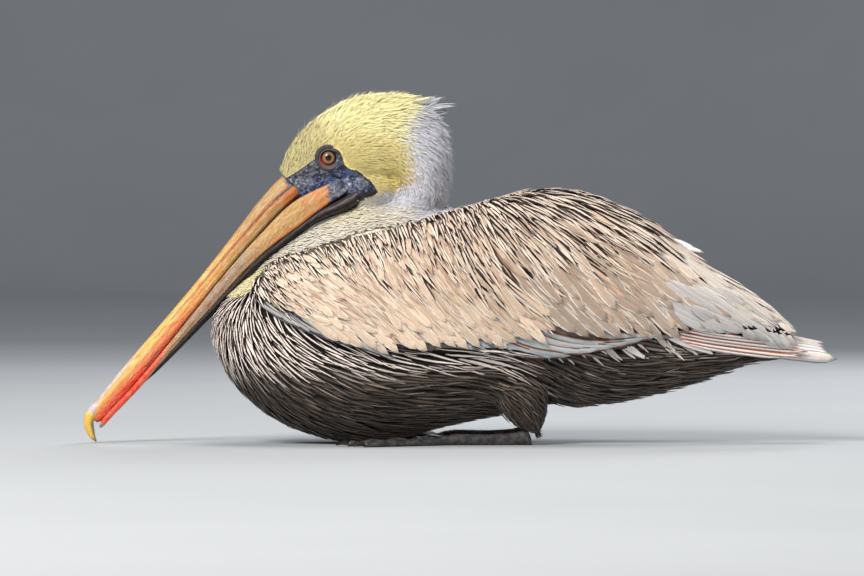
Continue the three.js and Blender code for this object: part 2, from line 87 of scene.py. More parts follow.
def curve(rows):
    """A smooth function through (place, value) rows that never overshoots them."""
    x, v = np.array(rows, float).T
    rise = np.diff(v) / np.diff(x)
    slope = np.concatenate([rise[:1], np.zeros(len(x) - 2), rise[-1:]])
    same = rise[:-1] * rise[1:] > 0
    total = np.where(same, rise[:-1] + rise[1:], 1)
    slope[1:-1] = np.where(same, 2 * rise[:-1] * rise[1:] / total, 0)

    def at(p):
        p = np.clip(p, x[0], x[-1])
        i = np.clip(np.searchsorted(x, p, side="right") - 1, 0, len(x) - 2)
        w = x[i + 1] - x[i]
        t = (p - x[i]) / w
        u = 1 - t
        ends = v[i] * (1 + 2 * t) * u * u + v[i + 1] * t * t * (3 - 2 * t)
        return ends + slope[i] * w * t * u * u - slope[i + 1] * w * t * t * u

    return at


# ---------------------------------------------------------------- meshes
def mesh_places(mesh):
    co = np.zeros(len(mesh.vertices) * 3, np.float32)
    mesh.vertices.foreach_get("co", co)
    return co.reshape(-1, 3).astype(float) / MM


def set_places(mesh, places):
    mesh.vertices.foreach_set("co", (places * MM).astype(np.float32).ravel())


def signed_volume(mesh):
    mesh.calc_loop_triangles()
    tris = np.zeros(len(mesh.loop_triangles) * 3, np.int32)
    mesh.loop_triangles.foreach_get("vertices", tris)
    p = mesh_places(mesh)[tris.reshape(-1, 3)]
    return np.einsum("ij,ij->i", p[:, 0], np.cross(p[:, 1], p[:, 2])).sum()


def piece(name, mesh, material):
    """A mesh as a piece of the bird, facing out and smooth."""
    if signed_volume(mesh) < 0:
        mesh.flip_normals()
    mesh.shade_smooth()
    mesh.materials.append(material)
    obj = bpy.data.objects.new(name, mesh)
    bpy.context.scene.collection.objects.link(obj)
    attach(obj, "root")
    return obj


def mesh_of(name, places, corners, sizes):
    """A mesh from places in millimetres and faces given corner by corner."""
    mesh = bpy.data.meshes.new(name)
    mesh.vertices.add(len(places))
    set_places(mesh, places)
    mesh.loops.add(len(corners))
    mesh.loops.foreach_set("vertex_index", corners.astype(np.int32))
    mesh.polygons.add(len(sizes))
    starts = np.concatenate([[0], np.cumsum(sizes)[:-1]])
    mesh.polygons.foreach_set("loop_start", starts.astype(np.int32))
    mesh.update(calc_edges=True)
    return mesh


def set_colour(obj, name, rgba):
    layer = obj.data.color_attributes.new(name, "FLOAT_COLOR", "POINT")
    layer.data.foreach_set("color", rgba.astype(np.float32).ravel())


def set_vector(obj, name, values):
    layer = obj.data.attributes.new(name, "FLOAT_VECTOR", "POINT")
    layer.data.foreach_set("vector", values.astype(np.float32).ravel())


def set_corner_uv(obj, name, uv):
    layer = obj.data.uv_layers.new(name=name)
    layer.data.foreach_set("uv", uv.astype(np.float32).ravel())


def ring_faces(rings, around):
    """Corners and sizes of the faces between rings, each end closed by a fan round one point."""
    r, i = np.meshgrid(np.arange(rings - 1), np.arange(around), indexing="ij")
    a = r * around + i
    b = r * around + (i + 1) % around
    quads = np.stack([a, b, b + around, a + around], -1).reshape(-1, 4)
    k = np.arange(around)
    end = (rings - 1) * around
    first = np.stack([np.full(around, rings * around), (k + 1) % around, k], -1)
    last = np.stack([np.full(around, rings * around + 1), end + k, end + (k + 1) % around], -1)
    corners = np.concatenate([quads.ravel(), first.ravel(), last.ravel()])
    return corners, np.concatenate([np.full(len(quads), 4), np.full(2 * around, 3)])


def loft(name, parts, material):
    """One object of closed lofts, each an array of ring by point by place."""
    places, corners, sizes, total = [], [], [], 0
    for rings in parts:
        count, around = rings.shape[:2]
        own = np.concatenate([rings.reshape(-1, 3), rings[0].mean(0)[None], rings[-1].mean(0)[None]])
        own_corners, own_sizes = ring_faces(count, around)
        flat = own[own_corners[: 4 * (count - 1) * around].reshape(-1, 4)]
        outward = np.cross(flat[:, 1] - flat[:, 0], flat[:, 2] - flat[:, 0])
        if (outward * (flat.mean(1) - own.mean(0))).sum() < 0:
            own_corners = flipped(own_corners, own_sizes)
        places.append(own)
        corners.append(own_corners + total)
        sizes.append(own_sizes)
        total += len(own)
    mesh = mesh_of(name, np.concatenate(places), np.concatenate(corners), np.concatenate(sizes))
    return piece(name, mesh, material)


def flipped(corners, sizes):
    """The same faces, wound the other way."""
    quads = sizes == 4
    count = quads.sum() * 4
    turned = corners[:count].reshape(-1, 4)[:, ::-1]
    return np.concatenate([turned.ravel(), corners[count:].reshape(-1, 3)[:, ::-1].ravel()])


def bake_uv(obj):
    """An OFBake unwrap of a piece that has no feathers."""
    obj.data.uv_layers.new(name="OFBake")
    for other in bpy.context.selected_objects:
        other.select_set(False)
    bpy.context.view_layer.objects.active = obj
    obj.select_set(True)
    bpy.ops.object.mode_set(mode="EDIT")
    bpy.ops.mesh.select_all(action="SELECT")
    bpy.ops.uv.smart_project(angle_limit=math.radians(66), island_margin=0.003)
    bpy.ops.object.mode_set(mode="OBJECT")


# ---------------------------------------------------------------- surfaces made from the solids
class Surface:
    """Faces that can be asked for their nearest place, with smooth normals."""

    def __init__(self, places, faces):
        self.places = places
        self.faces = faces
        self.centres = places[faces].mean(1)
        edge_a = places[faces[:, 1]] - places[faces[:, 0]]
        edge_b = places[faces[:, 2]] - places[faces[:, 0]]
        self.area = np.linalg.norm(np.cross(edge_a, edge_b), axis=1)
        self.normals = smooth_normals(places, faces)
        self.face_normals = unit(self.normals[faces].mean(1))
        self.tree = BVHTree.FromPolygons(places.tolist(), faces.tolist())

    def nearest(self, points):
        """Nearest places and their smooth normals."""
        found = [self.tree.find_nearest(p) for p in points.tolist()]
        face = np.array([f[2] for f in found])
        return np.array([f[0][:] for f in found]), self.face_normals[face]

    def distance(self, points):
        return np.array([self.tree.find_nearest(p)[3] for p in points.tolist()])

    def from_side(self, flat, side):
        """The outermost place on one side of the bird at each (x, z)."""
        hits = []
        for x, z in flat.tolist():
            hit = self.tree.ray_cast((x, side * 300.0, z), (0, -side, 0))
            if hit[0] is None:
                hit = self.tree.find_nearest((x, side * 60.0, z))
            hits.append(hit[0][:])
        return np.array(hits)

    def thickness(self, points, normals):
        """How far it is through the flesh, straight in from each place."""
        deep = []
        for p, n in zip((points - normals * 0.2).tolist(), normals.tolist()):
            hit = self.tree.ray_cast(p, (-n[0], -n[1], -n[2]))
            deep.append(60.0 if hit[0] is None else hit[3])
        return np.array(deep)

    def scatter(self, wanted, gap, lie=None, stretch=1.0):
        """Random places on the wanted faces, none nearer to another than the gap at its face.

        With a lie, they keep further apart along it than across it, by the stretch squared.
        """
        weight = self.area * wanted / gap**2
        count = int(weight.sum() * 4)
        face = rng.choice(len(self.faces), count, p=weight / weight.sum())
        u, v = rng.random((2, count, 1))
        corner = self.places[self.faces[face]]
        points = corner[:, 0] + u * (corner[:, 1] - corner[:, 0]) + v * (corner[:, 3] - corner[:, 0])
        heading = lie(points, self.face_normals[face]) if lie else None
        tree = KDTree(count)
        for i, p in enumerate(points.tolist()):
            tree.insert(p, i)
        tree.balance()
        free = np.ones(count, bool)
        kept = []
        for i in range(count):
            if not free[i]:
                continue
            kept.append(i)
            near = [j for _, j, _ in tree.find_range(points[i].tolist(), gap[face[i]] * stretch)]
            if lie:
                offset = points[near] - points[i]
                along = (offset @ heading[i]) ** 2
                apart = along / stretch**2 + ((offset**2).sum(1) - along) * stretch**2
                near = np.array(near)[apart < gap[face[i]] ** 2]
            free[near] = False
        return points[kept], self.face_normals[face[kept]]


def solids(*names):
    """One Surface of the triangles of several CAD nodes."""
    places, faces, total = [], [], 0
    for name in names:
        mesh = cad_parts[name].data
        mesh.calc_loop_triangles()
        tris = np.zeros(len(mesh.loop_triangles) * 3, np.int32)
        mesh.loop_triangles.foreach_get("vertices", tris)
        own = mesh_places(mesh)
        places.append(own)
        faces.append(tris.reshape(-1, 3) + total)
        total += len(own)
    return Surface(np.concatenate(places), np.concatenate(faces))


def relaxed(places, edges, rounds):
    """Places smoothed over the edges, with almost no loss of size."""
    degree = np.maximum(np.bincount(edges.ravel(), minlength=len(places)), 1)[:, None]
    for amount in [0.5, -0.52] * rounds:
        total = np.zeros_like(places)
        np.add.at(total, edges[:, 0], places[edges[:, 1]])
        np.add.at(total, edges[:, 1], places[edges[:, 0]])
        places = places + amount * (total / degree - places)
    return places


def mesh_edges(mesh):
    edges = np.zeros(len(mesh.edges) * 2, np.int32)
    mesh.edges.foreach_get("vertices", edges)
    return edges.reshape(-1, 2)


def face_edges(faces):
    pairs = np.concatenate([faces[:, [k, (k + 1) % faces.shape[1]]] for k in range(faces.shape[1])])
    return np.unique(np.sort(pairs, axis=1), axis=0)


def smooth_normals(places, faces):
    edge_a = places[faces[:, 1]] - places[faces[:, 0]]
    edge_b = places[faces[:, 2]] - places[faces[:, 0]]
    flat = np.cross(edge_a, edge_b)
    normals = np.zeros_like(places)
    for k in range(faces.shape[1]):
        np.add.at(normals, faces[:, k], flat)
    return unit(normals)


def filled(places, faces, rounds):
    """Places with the hollows between wings, back, neck and thighs filled, as the coat fills them."""
    edges = face_edges(faces)
    degree = np.maximum(np.bincount(edges.ravel(), minlength=len(places)), 1)[:, None]
    across, down = pixels(places)
    part = step(262, 290, across) * step(190, 215, down) * step(425, 410, down)
    part *= np.maximum(step(400, 430, across), step(0, 12, down - NECK_END(across)))
    for k in range(rounds):
        if k % 8 == 0:
            normals = smooth_normals(places, faces)
        total = np.zeros_like(places)
        np.add.at(total, edges[:, 0], places[edges[:, 1]])
        np.add.at(total, edges[:, 1], places[edges[:, 0]])
        out = ((total / degree - places) * normals).sum(1)
        places = places + normals * (0.6 * np.maximum(out, 0) * part)[:, None]
    return places


def grown_together(voxel, rounds, *names):
    """The CAD nodes as one smooth closed surface of small quads, with their hollows filled."""
    parts = solids(*names)
    mesh = bpy.data.meshes.new("joined")
    mesh.from_pydata((parts.places * MM).tolist(), [], parts.faces.tolist())
    obj = bpy.data.objects.new("joined", mesh)
    bpy.context.scene.collection.objects.link(obj)
    remesh = obj.modifiers.new("remesh", "REMESH")
    remesh.mode = "VOXEL"
    remesh.voxel_size = voxel * MM
    bpy.context.view_layer.update()
    made = obj.evaluated_get(bpy.context.evaluated_depsgraph_get()).to_mesh()
    faces = np.array([p.vertices[:] for p in made.polygons])
    places = filled(mesh_places(made), faces, FILL_ROUNDS)
    places = relaxed(places, mesh_edges(made), rounds)
    bpy.data.objects.remove(obj)
    return Surface(places, faces)


# ---------------------------------------------------------------- where the coat grows and how
NECK_END = curve([(200, 288), (225, 289), (240, 290), (250, 286), (257, 279), (263, 266), (280, 252),
                  (300, 247), (330, 239), (360, 232), (400, 223), (440, 210), (460, 204)])
NECK_BACK = 454
WING_LOW = curve([(255, 300), (270, 310), (300, 327), (340, 340), (395, 352), (450, 347), (500, 352),
                  (560, 357), (600, 350), (640, 342), (690, 330), (740, 332), (800, 340)])
FACE_TOP = curve([(270, 190), (280, 181), (290, 176), (300, 170), (310, 163), (317, 157), (322, 150),
                  (329, 147), (336, 149), (341, 153), (343, 159), (345, 165), (350, 169), (358, 171),
                  (363, 175), (368, 180), (372, 185), (378, 192)])
FACE_LOW = curve([(270, 252), (286, 243), (300, 231), (311, 222), (330, 213), (350, 206), (366, 198),
                  (378, 192)])
COVERTS_LOW = curve([(255, 300), (277, 312), (300, 321), (345, 338), (390, 351), (410, 347), (444, 345),
                     (500, 344), (541, 343), (562, 334), (602, 336), (640, 334), (671, 339), (688, 330),
                     (717, 322), (735, 320), (765, 334), (800, 342)])
GAPE_LOW = curve([(270, 240), (286, 236), (300, 225), (330, 205), (352, 196), (378, 190)])
FACE_BACK = 378
FLESH = ["head", "neck_upper", "neck_lower", "trunk", "wing_left", "wing_right", "thigh_left", "thigh_right"]
COAT_VOXEL = 2.4
COAT_SMOOTHING = 5  # rounds
FILL_ROUNDS = 48
coat = grown_together(COAT_VOXEL, COAT_SMOOTHING, *FLESH)
wings = solids("wing_left", "wing_right")
trunk = solids("trunk")
bills = solids("bill_upper", "bill_lower", "pouch")
eyes = solids("eye_left", "eye_right")

EYE = np.array([-125.8, 18.2, 273.6])
HEAD_FOLD = np.array([-75.0, 238.0])

# How the body's feathers lie, and how big they are, at some places on its side.
TRACTS = np.array([
    # across, down, degrees below straight back, length, half-width
    (268, 275, 78, 16, 1.6), (300, 258, 70, 20, 1.8), (350, 248, 72, 24, 2.0), (400, 236, 76, 26, 2.1),
    (450, 222, 76, 28, 2.2), (490, 212, 64, 32, 2.4), (530, 203, 45, 36, 2.6), (570, 205, 32, 42, 2.8),
    (610, 215, 28, 50, 3.2), (650, 235, 30, 62, 4.0), (290, 290, 40, 26, 2.0), (320, 290, 46, 40, 2.5),
    (370, 285, 56, 56, 3.0), (430, 275, 60, 60, 3.2), (480, 265, 56, 62, 3.4), (530, 255, 50, 66, 3.7),
    (580, 250, 42, 70, 4.2), (630, 262, 38, 80, 5.0), (680, 275, 38, 88, 5.6), (730, 300, 37, 92, 5.8),
    (770, 320, 36, 84, 5.0), (300, 312, 22, 40, 2.4), (340, 322, 26, 54, 3.2), (380, 325, 38, 66, 3.8),
    (430, 320, 44, 72, 4.4), (480, 318, 43, 76, 4.8), (530, 318, 40, 80, 5.4), (590, 310, 40, 86, 6.0),
    (640, 308, 42, 86, 6.2), (690, 310, 42, 86, 6.0), (222, 310, 100, 18, 1.8), (235, 300, 92, 18, 1.8),
    (252, 300, 80, 17, 1.7), (260, 318, 60, 24, 2.2), (222, 345, 76, 32, 2.6), (245, 345, 56, 38, 2.8),
    (270, 335, 40, 42, 3.0), (240, 385, 50, 30, 2.4), (270, 375, 34, 38, 2.8), (310, 350, 27, 46, 3.1),
    (350, 365, 16, 48, 3.0), (400, 370, 6, 50, 3.0), (300, 415, 22, 32, 2.2), (350, 410, 8, 34, 2.3),
    (450, 370, -2, 46, 2.8), (500, 366, 4, 40, 2.6), (530, 368, 20, 26, 2.2), (430, 405, 3, 34, 2.3),
    (515, 395, 50, 22, 1.8), (525, 415, 70, 16, 1.5), (560, 378, 34, 24, 2.1), (600, 380, 10, 34, 2.4),
    (650, 376, -4, 40, 2.6), (700, 368, -12, 44, 2.6), (760, 356, -12, 40, 2.6), (800, 352, -8, 40, 2.4),
], float)
TRACT_REACH = 24.0  # pixels over which one row of the table fades into the next


def tract(points):
    """Lie in degrees, length and half-width of the body's feathers at each point."""
    across, down = pixels(points)
    away = (across[:, None] - TRACTS[:, 0]) ** 2 + (down[:, None] - TRACTS[:, 1]) ** 2
    weight = np.exp(-away / (2 * TRACT_REACH**2)) + 1e-9 / (1 + away)
    return (weight @ TRACTS[:, 2:]) / weight.sum(1, keepdims=True)


def along_surface(direction, normals):
    """The part of a direction that lies in the surface."""
    return unit(direction - normals * (direction * normals).sum(1, keepdims=True))


def body_lie(points, normals):
    """Feathers point back along the middle of the back, sweep out over the wings and down the flanks."""
    lie = np.radians(tract(points)[:, 0])
    across, _ = pixels(points)
    out = step(-0.05, 0.45, normals[:, 2]) * step(2, 12, np.abs(points[:, 1])) * step(248, 262, across)
    out *= 0.3 + 0.7 * step(560, 460, across)
    sweep = np.sin(lie)
    flow = np.column_stack([np.cos(lie), out * sweep * np.sign(points[:, 1]), (0.4 * out - 1) * sweep])
    end_on = step(0.5, 0.8, (flow * normals).sum(1))[:, None]
    return unit(along_surface(flow, normals) * (1 - end_on) + flow * end_on)


def head_lie(points, normals):
    """Feathers run from the bill over the crown and down the nape, and forward down the neck."""
    out = points[:, [0, 2]] - HEAD_FOLD
    turning = np.column_stack([out[:, 1], np.zeros(len(out)), -out[:, 0]])
    backwards = np.array([[25.0, 0, -6.0]])
    near = step(60, 10, np.linalg.norm(out, axis=1))[:, None]
    low = step(246, 230, points[:, 2])[:, None] * step(-5, -40, points[:, 0])[:, None]
    neck = np.array([[-60.0, 0, -20.0]])
    flow = turning * (1 - near) + backwards * near
    return along_surface(flow * (1 - low) + neck * low, normals)


def is_bare(points):
    """True on the naked skin of the face."""
    across, down = pixels(points)
    inside = (down > FACE_TOP(across)) & (down < FACE_LOW(across) + 1)
    return (across < FACE_BACK) & inside & (np.abs(points[:, 1]) > 5)


FACE_EDGE = [(282, 180), (290, 176), (317, 157), (329, 146), (341, 152), (345, 165), (363, 175), (378, 192)]


def path_distance(points, path):
    """Distance in pixels from the sideways view of each point to a path of pixels."""
    across, down = pixels(points)
    p = np.column_stack([across, down])
    best = np.full(len(p), 1e9)
    for a, b in zip(np.array(path[:-1], float), np.array(path[1:], float)):
        t = np.clip(((p - a) @ (b - a)) / ((b - a) @ (b - a)), 0, 1)
        best = np.minimum(best, np.linalg.norm(p - a - t[:, None] * (b - a), axis=1))
    return best


def looseness(points):
    """How much the head's tufts stand out: most on the crown and nape, not at all round the face."""
    across, down = pixels(points)
    nape = step(395, 432, across) * step(226, 196, down)
    crown = step(150, 112, down) * step(315, 345, across)
    forehead = step(322, 292, across) * step(182, 150, down) * 0.7
    arch = step(8, 2, np.abs(points[:, 1])) * step(170, 140, down) * 0.8
    away = step(2, 14, path_distance(points, FACE_EDGE))
    return np.maximum(np.maximum(nape, crown), np.maximum(forehead, arch)) * away


def is_neck(points, past=0.0):
    """True on head and neck, and as far past their edge as said, in pixels."""
    across, down = pixels(points)
    inside = (down < NECK_END(across) + past) & (across < NECK_BACK)
    near = np.flatnonzero(inside & (down > NECK_END(across) - 14))
    inside[near[wings.distance(points[near]) < 2.0]] = False
    return inside


# ---------------------------------------------------------------- markings, the same on skin and coat
NAPE = srgb(218, 219, 228)
NECK = srgb(230, 222, 207)
CREAM = srgb(244, 232, 182)
CROWN = srgb(255, 246, 182)
FOREHEAD = srgb(210, 198, 144)
CHEEK = srgb(234, 217, 147)
JAW = srgb(205, 178, 98)
YELLOW_EDGE = curve([(90, 424), (105, 412), (130, 402), (150, 404), (170, 407), (182, 402), (190, 390),
                     (197, 372)])


def head_colour(points):
    """Yellow crown and cheeks, pale grey nape, cream throat and neck."""
    across, down = pixels(points)
    wander = 3 * np.sin(down * 0.7 + across * 0.4) + rng.normal(0, 1.8, len(points))
    neck = blend(NAPE, NECK, step(195, 215, down) * step(440, 400, across))
    throat = step(232, 208, down) * step(190, 200, down) * step(400, 350, across)
    neck = blend(neck, CREAM, throat * 0.6)
    neck = blend(neck, CREAM, step(258, 270, down) * step(282, 266, across))
    yellow = blend(CROWN, CHEEK, step(126, 148, down + wander))
    yellow = blend(yellow, FOREHEAD, step(345, 305, across) * step(112, 132, down))
    yellow = blend(yellow, JAW, step(372, 402, across) * step(152, 184, down))
    inside = step(11, -9, across + 1.6 * wander - YELLOW_EDGE(down)) * step(198, 189, down + wander * 0.4)
    return blend(neck, yellow, inside)


BUFF = srgb(226, 200, 178)
WARM_BUFF = srgb(206, 174, 148)
PALE = srgb(222, 211, 201)
RIM = srgb(250, 238, 224)
# dark of the feathers' hidden bases, and painted shade in the gaps between feathers
UNDERLAP_AND_SHADE = srgb(92, 70, 58)
BLUE_GREY = srgb(160, 165, 170)
DARK = srgb(40, 22, 18)


def streaks_at(points):
    """How many of the feathers are dark with a narrow pale streak."""
    across, down = pixels(points)
    top = np.exp(-np.maximum(down - NECK_END(across), 0) / 20) * step(475, 440, across)
    shoulder = step(420, 455, across) * step(680, 590, across) * step(300, 225, down) * 0.95
    front = step(300, 262, across)
    return np.clip(np.maximum(np.maximum(top, shoulder), front), 0.10, 1)


def wing_colours(points):
    """Middle and edge colours of the feathers of mantle and wing, and the middle's share."""
    across, down = pixels(points)
    count = len(points)
    dark = rng.random(count) < streaks_at(points)
    drift = np.sin(across * 0.045 + 1.3 * np.sin(down * 0.06)) * 0.5 + 0.5
    middle = blend(BUFF, WARM_BUFF, (0.25 + 0.5 * drift + 0.25 * rng.random(count)) * step(330, 420, across))
    middle = blend(middle, PALE, np.maximum(step(590, 720, across), step(325, 345, down)) * 0.85)
    low = step(18, 4, WING_LOW(across) - down)
    middle = blend(middle, BLUE_GREY, low * step(430, 330, across))
    middle = np.where(dark[:, None], blend(middle, RIM, np.full(count, 0.5)), middle)
    edge = np.where(dark[:, None], DARK, RIM)
    share = np.where(dark, rng.uniform(0.28, 0.55, count), rng.uniform(0.66, 0.9, count))
    bright = rng.uniform(0.78, 1.08, (count, 1)) - 0.08 * step(250, 215, down)[:, None]
    return middle * bright, edge, share


# The belly's and breast's own dark brown, made darker still as painted shade of the underside.
BELLY = srgb(34, 28, 24)
BREAST = srgb(18, 12, 12)
BREAST_STREAK = srgb(255, 238, 228)
BELLY_STREAK = srgb(82, 70, 60)


def belly_colours(points):
    """Dark feathers with a pale streak down the middle, boldest high on the breast."""
    across, down = pixels(points)
    count = len(points)
    low = step(348, 378, down + 0.05 * (400 - across))
    back = step(478, 512, across) * (1 - 0.5 * step(600, 680, across) * step(368, 345, down))
    faint = np.clip(np.maximum(low, back) + rng.normal(0, 0.1, count), 0, 1)
    middle = blend(BREAST_STREAK, BELLY_STREAK, faint)
    edge = blend(BREAST, BELLY, faint)
    # painted shade: a quarter darker towards the rear of the underside
    painted_rear_shade = (1 - 0.25 * step(640, 700, across))[:, None]
    return middle * painted_rear_shade, edge * painted_rear_shade, rng.uniform(0.24, 0.46, count)


def skin_colour(points):
    """The coat's colours, darkened as painted shade, as the skin shows them between the feathers."""
    # painted shade: the skin between the neck's tufts is a little darker than they are
    neck = head_colour(points) * 0.95
    middle, edge, _ = wing_colours(points)
    across, down = pixels(points)
    # painted shade in the gaps between the wing's feathers, less of it towards the wing's rear
    shade = (0.4 + 0.5 * step(690, 725, across))[:, None]
    wing = blend(middle, edge * 0.5, np.full(len(points), 0.6)) * shade
    # painted shade between the belly's feathers
    below = BREAST * 0.6
    upper = (down < WING_LOW(across)) & (across > 250)
    body = np.where(upper[:, None], wing, below)
    return np.where(is_neck(points, 3.0)[:, None], neck, body)


# ---------------------------------------------------------------- materials
def new_material(name):
    material = bpy.data.materials.new(name)
    material.use_nodes = True
    return material, material.node_tree, material.node_tree.nodes["Principled BSDF"]


def add(tree, kind, inputs=None, **settings):
    """A shader node, with its settings, and its inputs set to numbers or linked to sockets."""
    node = tree.nodes.new("ShaderNode" + kind)
    for name, value in settings.items():
        setattr(node, name, value)
    for key, value in (inputs or {}).items():
        if isinstance(value, bpy.types.NodeSocket):
            tree.links.new(value, node.inputs[key])
        else:
            node.inputs[key].default_value = value
    return node


def maths(tree, operation, *values):
    return add(tree, "Math", dict(enumerate(values)), operation=operation).outputs[0]


def mixed(tree, factor, a, b):
    return add(tree, "Mix", {0: factor, 6: a, 7: b}, data_type="RGBA").outputs[2]


def shaded(tree, colour, by):
    return add(tree, "VectorMath", {0: colour, 3: by}, operation="SCALE").outputs[0]


def smooth(tree, value, low, high, first=0.0, last=1.0):
    sockets = {"Value": value, "From Min": low, "From Max": high, "To Min": first, "To Max": last}
    return add(tree, "MapRange", sockets, interpolation_type="SMOOTHSTEP").outputs[0]


def noise(tree, vector, scale, detail=3.0, roughness=0.6):
    sockets = {"Vector": vector, "Scale": scale, "Detail": detail, "Roughness": roughness}
    return add(tree, "TexNoise", sockets).outputs[0]


def bumped(tree, shader, height, distance, strength=1.0):
    sockets = {"Height": height, "Distance": distance * MM, "Strength": strength}
    normal = add(tree, "Bump", sockets).outputs[0]
    tree.links.new(normal, shader.inputs["Normal"])


def colour4(colour):
    return (*np.asarray(colour, float), 1.0)


def feather_material(name, roughness, shaft, ragged, root_shade, clump, edge_shadow=0.0, barb=0.9):
    """A vane with a middle and an edge colour, ragged between them, a shaft and fine barbs.

    The edge shadow is painted shade: how much darker the very edge is, where the next feather shades it.
    The root shade is painted shade too: how much darker the root is, under the feathers that lie over it.
    """
    material, tree, shader = new_material(name)
    middle = add(tree, "Attribute", attribute_name="middle")
    edge = add(tree, "Attribute", attribute_name="edge")
    vane = add(tree, "SeparateXYZ", {0: add(tree, "UVMap", uv_map="vane").outputs[0]})
    across, along = vane.outputs[0], vane.outputs[1]
    off = maths(tree, "MULTIPLY", maths(tree, "ABSOLUTE", maths(tree, "SUBTRACT", across, 0.5)), 2.0)
    chance = edge.outputs["Alpha"]
    spot = {0: maths(tree, "MULTIPLY", across, 2.5), 1: maths(tree, "MULTIPLY", along, 0.22),
            2: maths(tree, "MULTIPLY", chance, 70.0)}
    wander = noise(tree, add(tree, "CombineXYZ", spot).outputs[0], 1.6)
    lock = {0: maths(tree, "MULTIPLY", across, 9.0), 1: maths(tree, "MULTIPLY", along, 0.07), 2: spot[2]}
    clumps = noise(tree, add(tree, "CombineXYZ", lock).outputs[0], 1.0, 2.0)
    wandered = maths(tree, "MULTIPLY_ADD", maths(tree, "SUBTRACT", wander, 0.5), ragged, off)
    share = middle.outputs["Alpha"]
    low = maths(tree, "SUBTRACT", share, 0.1)
    high = maths(tree, "ADD", share, 0.1)
    colour = mixed(tree, smooth(tree, wandered, low, high), middle.outputs["Color"], edge.outputs["Color"])
    barb_place = maths(tree, "MULTIPLY_ADD", off, -2.2, along)
    barbs = maths(tree, "SINE", maths(tree, "MULTIPLY", barb_place, 2 * math.pi / barb))
    on_shaft = smooth(tree, off, 0.16, 0.05)
    light = maths(tree, "MULTIPLY_ADD", chance, 0.22, 0.89)
    # painted shade: the root is darker, under the feathers that lie over it
    light = maths(tree, "MULTIPLY", light, smooth(tree, along, 0.0, 7.0, root_shade, 1.0))
    light = maths(tree, "MULTIPLY", light, maths(tree, "MULTIPLY_ADD", barbs, 0.05, 1.0))
    light = maths(tree, "MULTIPLY", light, maths(tree, "MULTIPLY_ADD", wander, 0.3, 0.85))
    light = maths(tree, "MULTIPLY", light, maths(tree, "MULTIPLY_ADD", clumps, clump, 1 - 0.5 * clump))
    light = maths(tree, "MULTIPLY", light, maths(tree, "MULTIPLY_ADD", on_shaft, -shaft, 1.0))
    # painted shade: the very edge is darker, where the next feather shades it
    light = maths(tree, "MULTIPLY", light, smooth(tree, off, 0.78, 0.96, 1.0, 1 - edge_shadow))
    tree.links.new(shaded(tree, colour, light), shader.inputs["Base Color"])
    shader.inputs["Roughness"].default_value = roughness
    shader.inputs["Specular IOR Level"].default_value = 0.25
    shader.inputs["Sheen Weight"].default_value = 0.15
    height = maths(tree, "MULTIPLY_ADD", on_shaft, 2.0, barbs)
    bumped(tree, shader, maths(tree, "MULTIPLY_ADD", clumps, 5.0, height), 0.06, 0.6)
    return material


def slate(tree, place):
    """Colour and grain of the bare skin of the face: grey and navy blotches with pale flecks."""
    blotch = noise(tree, place, 150.0, 5.0, 0.65)
    navy, grey = colour4(srgb(38, 46, 76)), colour4(srgb(112, 114, 126))
    colour = mixed(tree, smooth(tree, blotch, 0.42, 0.60), navy, grey)
    fine = noise(tree, place, 360.0, 3.0, 0.6)
    flecks = maths(tree, "MULTIPLY", smooth(tree, fine, 0.56, 0.68), 0.7)
    colour = mixed(tree, flecks, colour, colour4(srgb(196, 198, 204)))
    colour = shaded(tree, colour, smooth(tree, fine, 0.34, 0.46, 0.5, 1.0))
    cells = add(tree, "TexVoronoi", {"Vector": place, "Scale": 420.0}, feature="F1").outputs[0]
    return colour, maths(tree, "ADD", cells, blotch)


def multiplied(tree, factor, a, b):
    return add(tree, "Mix", {0: factor, 6: a, 7: b}, data_type="RGBA", blend_type="MULTIPLY").outputs[2]


def skin_material():
    """Down under the feathers, and the slate skin of the face with its fine pebbled grain."""
    material, tree, shader = new_material("skin")
    tint = add(tree, "Attribute", attribute_name="tint")
    place = add(tree, "TexCoord").outputs["Object"]
    down = noise(tree, place, 900.0)
    feathered = shaded(tree, tint.outputs["Color"], maths(tree, "MULTIPLY_ADD", down, 0.5, 0.7))
    face, grain = slate(tree, place)
    bare = multiplied(tree, 1.0, face, tint.outputs["Color"])
    colour = mixed(tree, tint.outputs["Alpha"], feathered, bare)
    tree.links.new(colour, shader.inputs["Base Color"])
    tree.links.new(smooth(tree, tint.outputs["Alpha"], 0.0, 1.0, 0.85, 0.42), shader.inputs["Roughness"])
    bumped(tree, shader, maths(tree, "MULTIPLY", grain, tint.outputs["Alpha"]), 0.7)
    return material


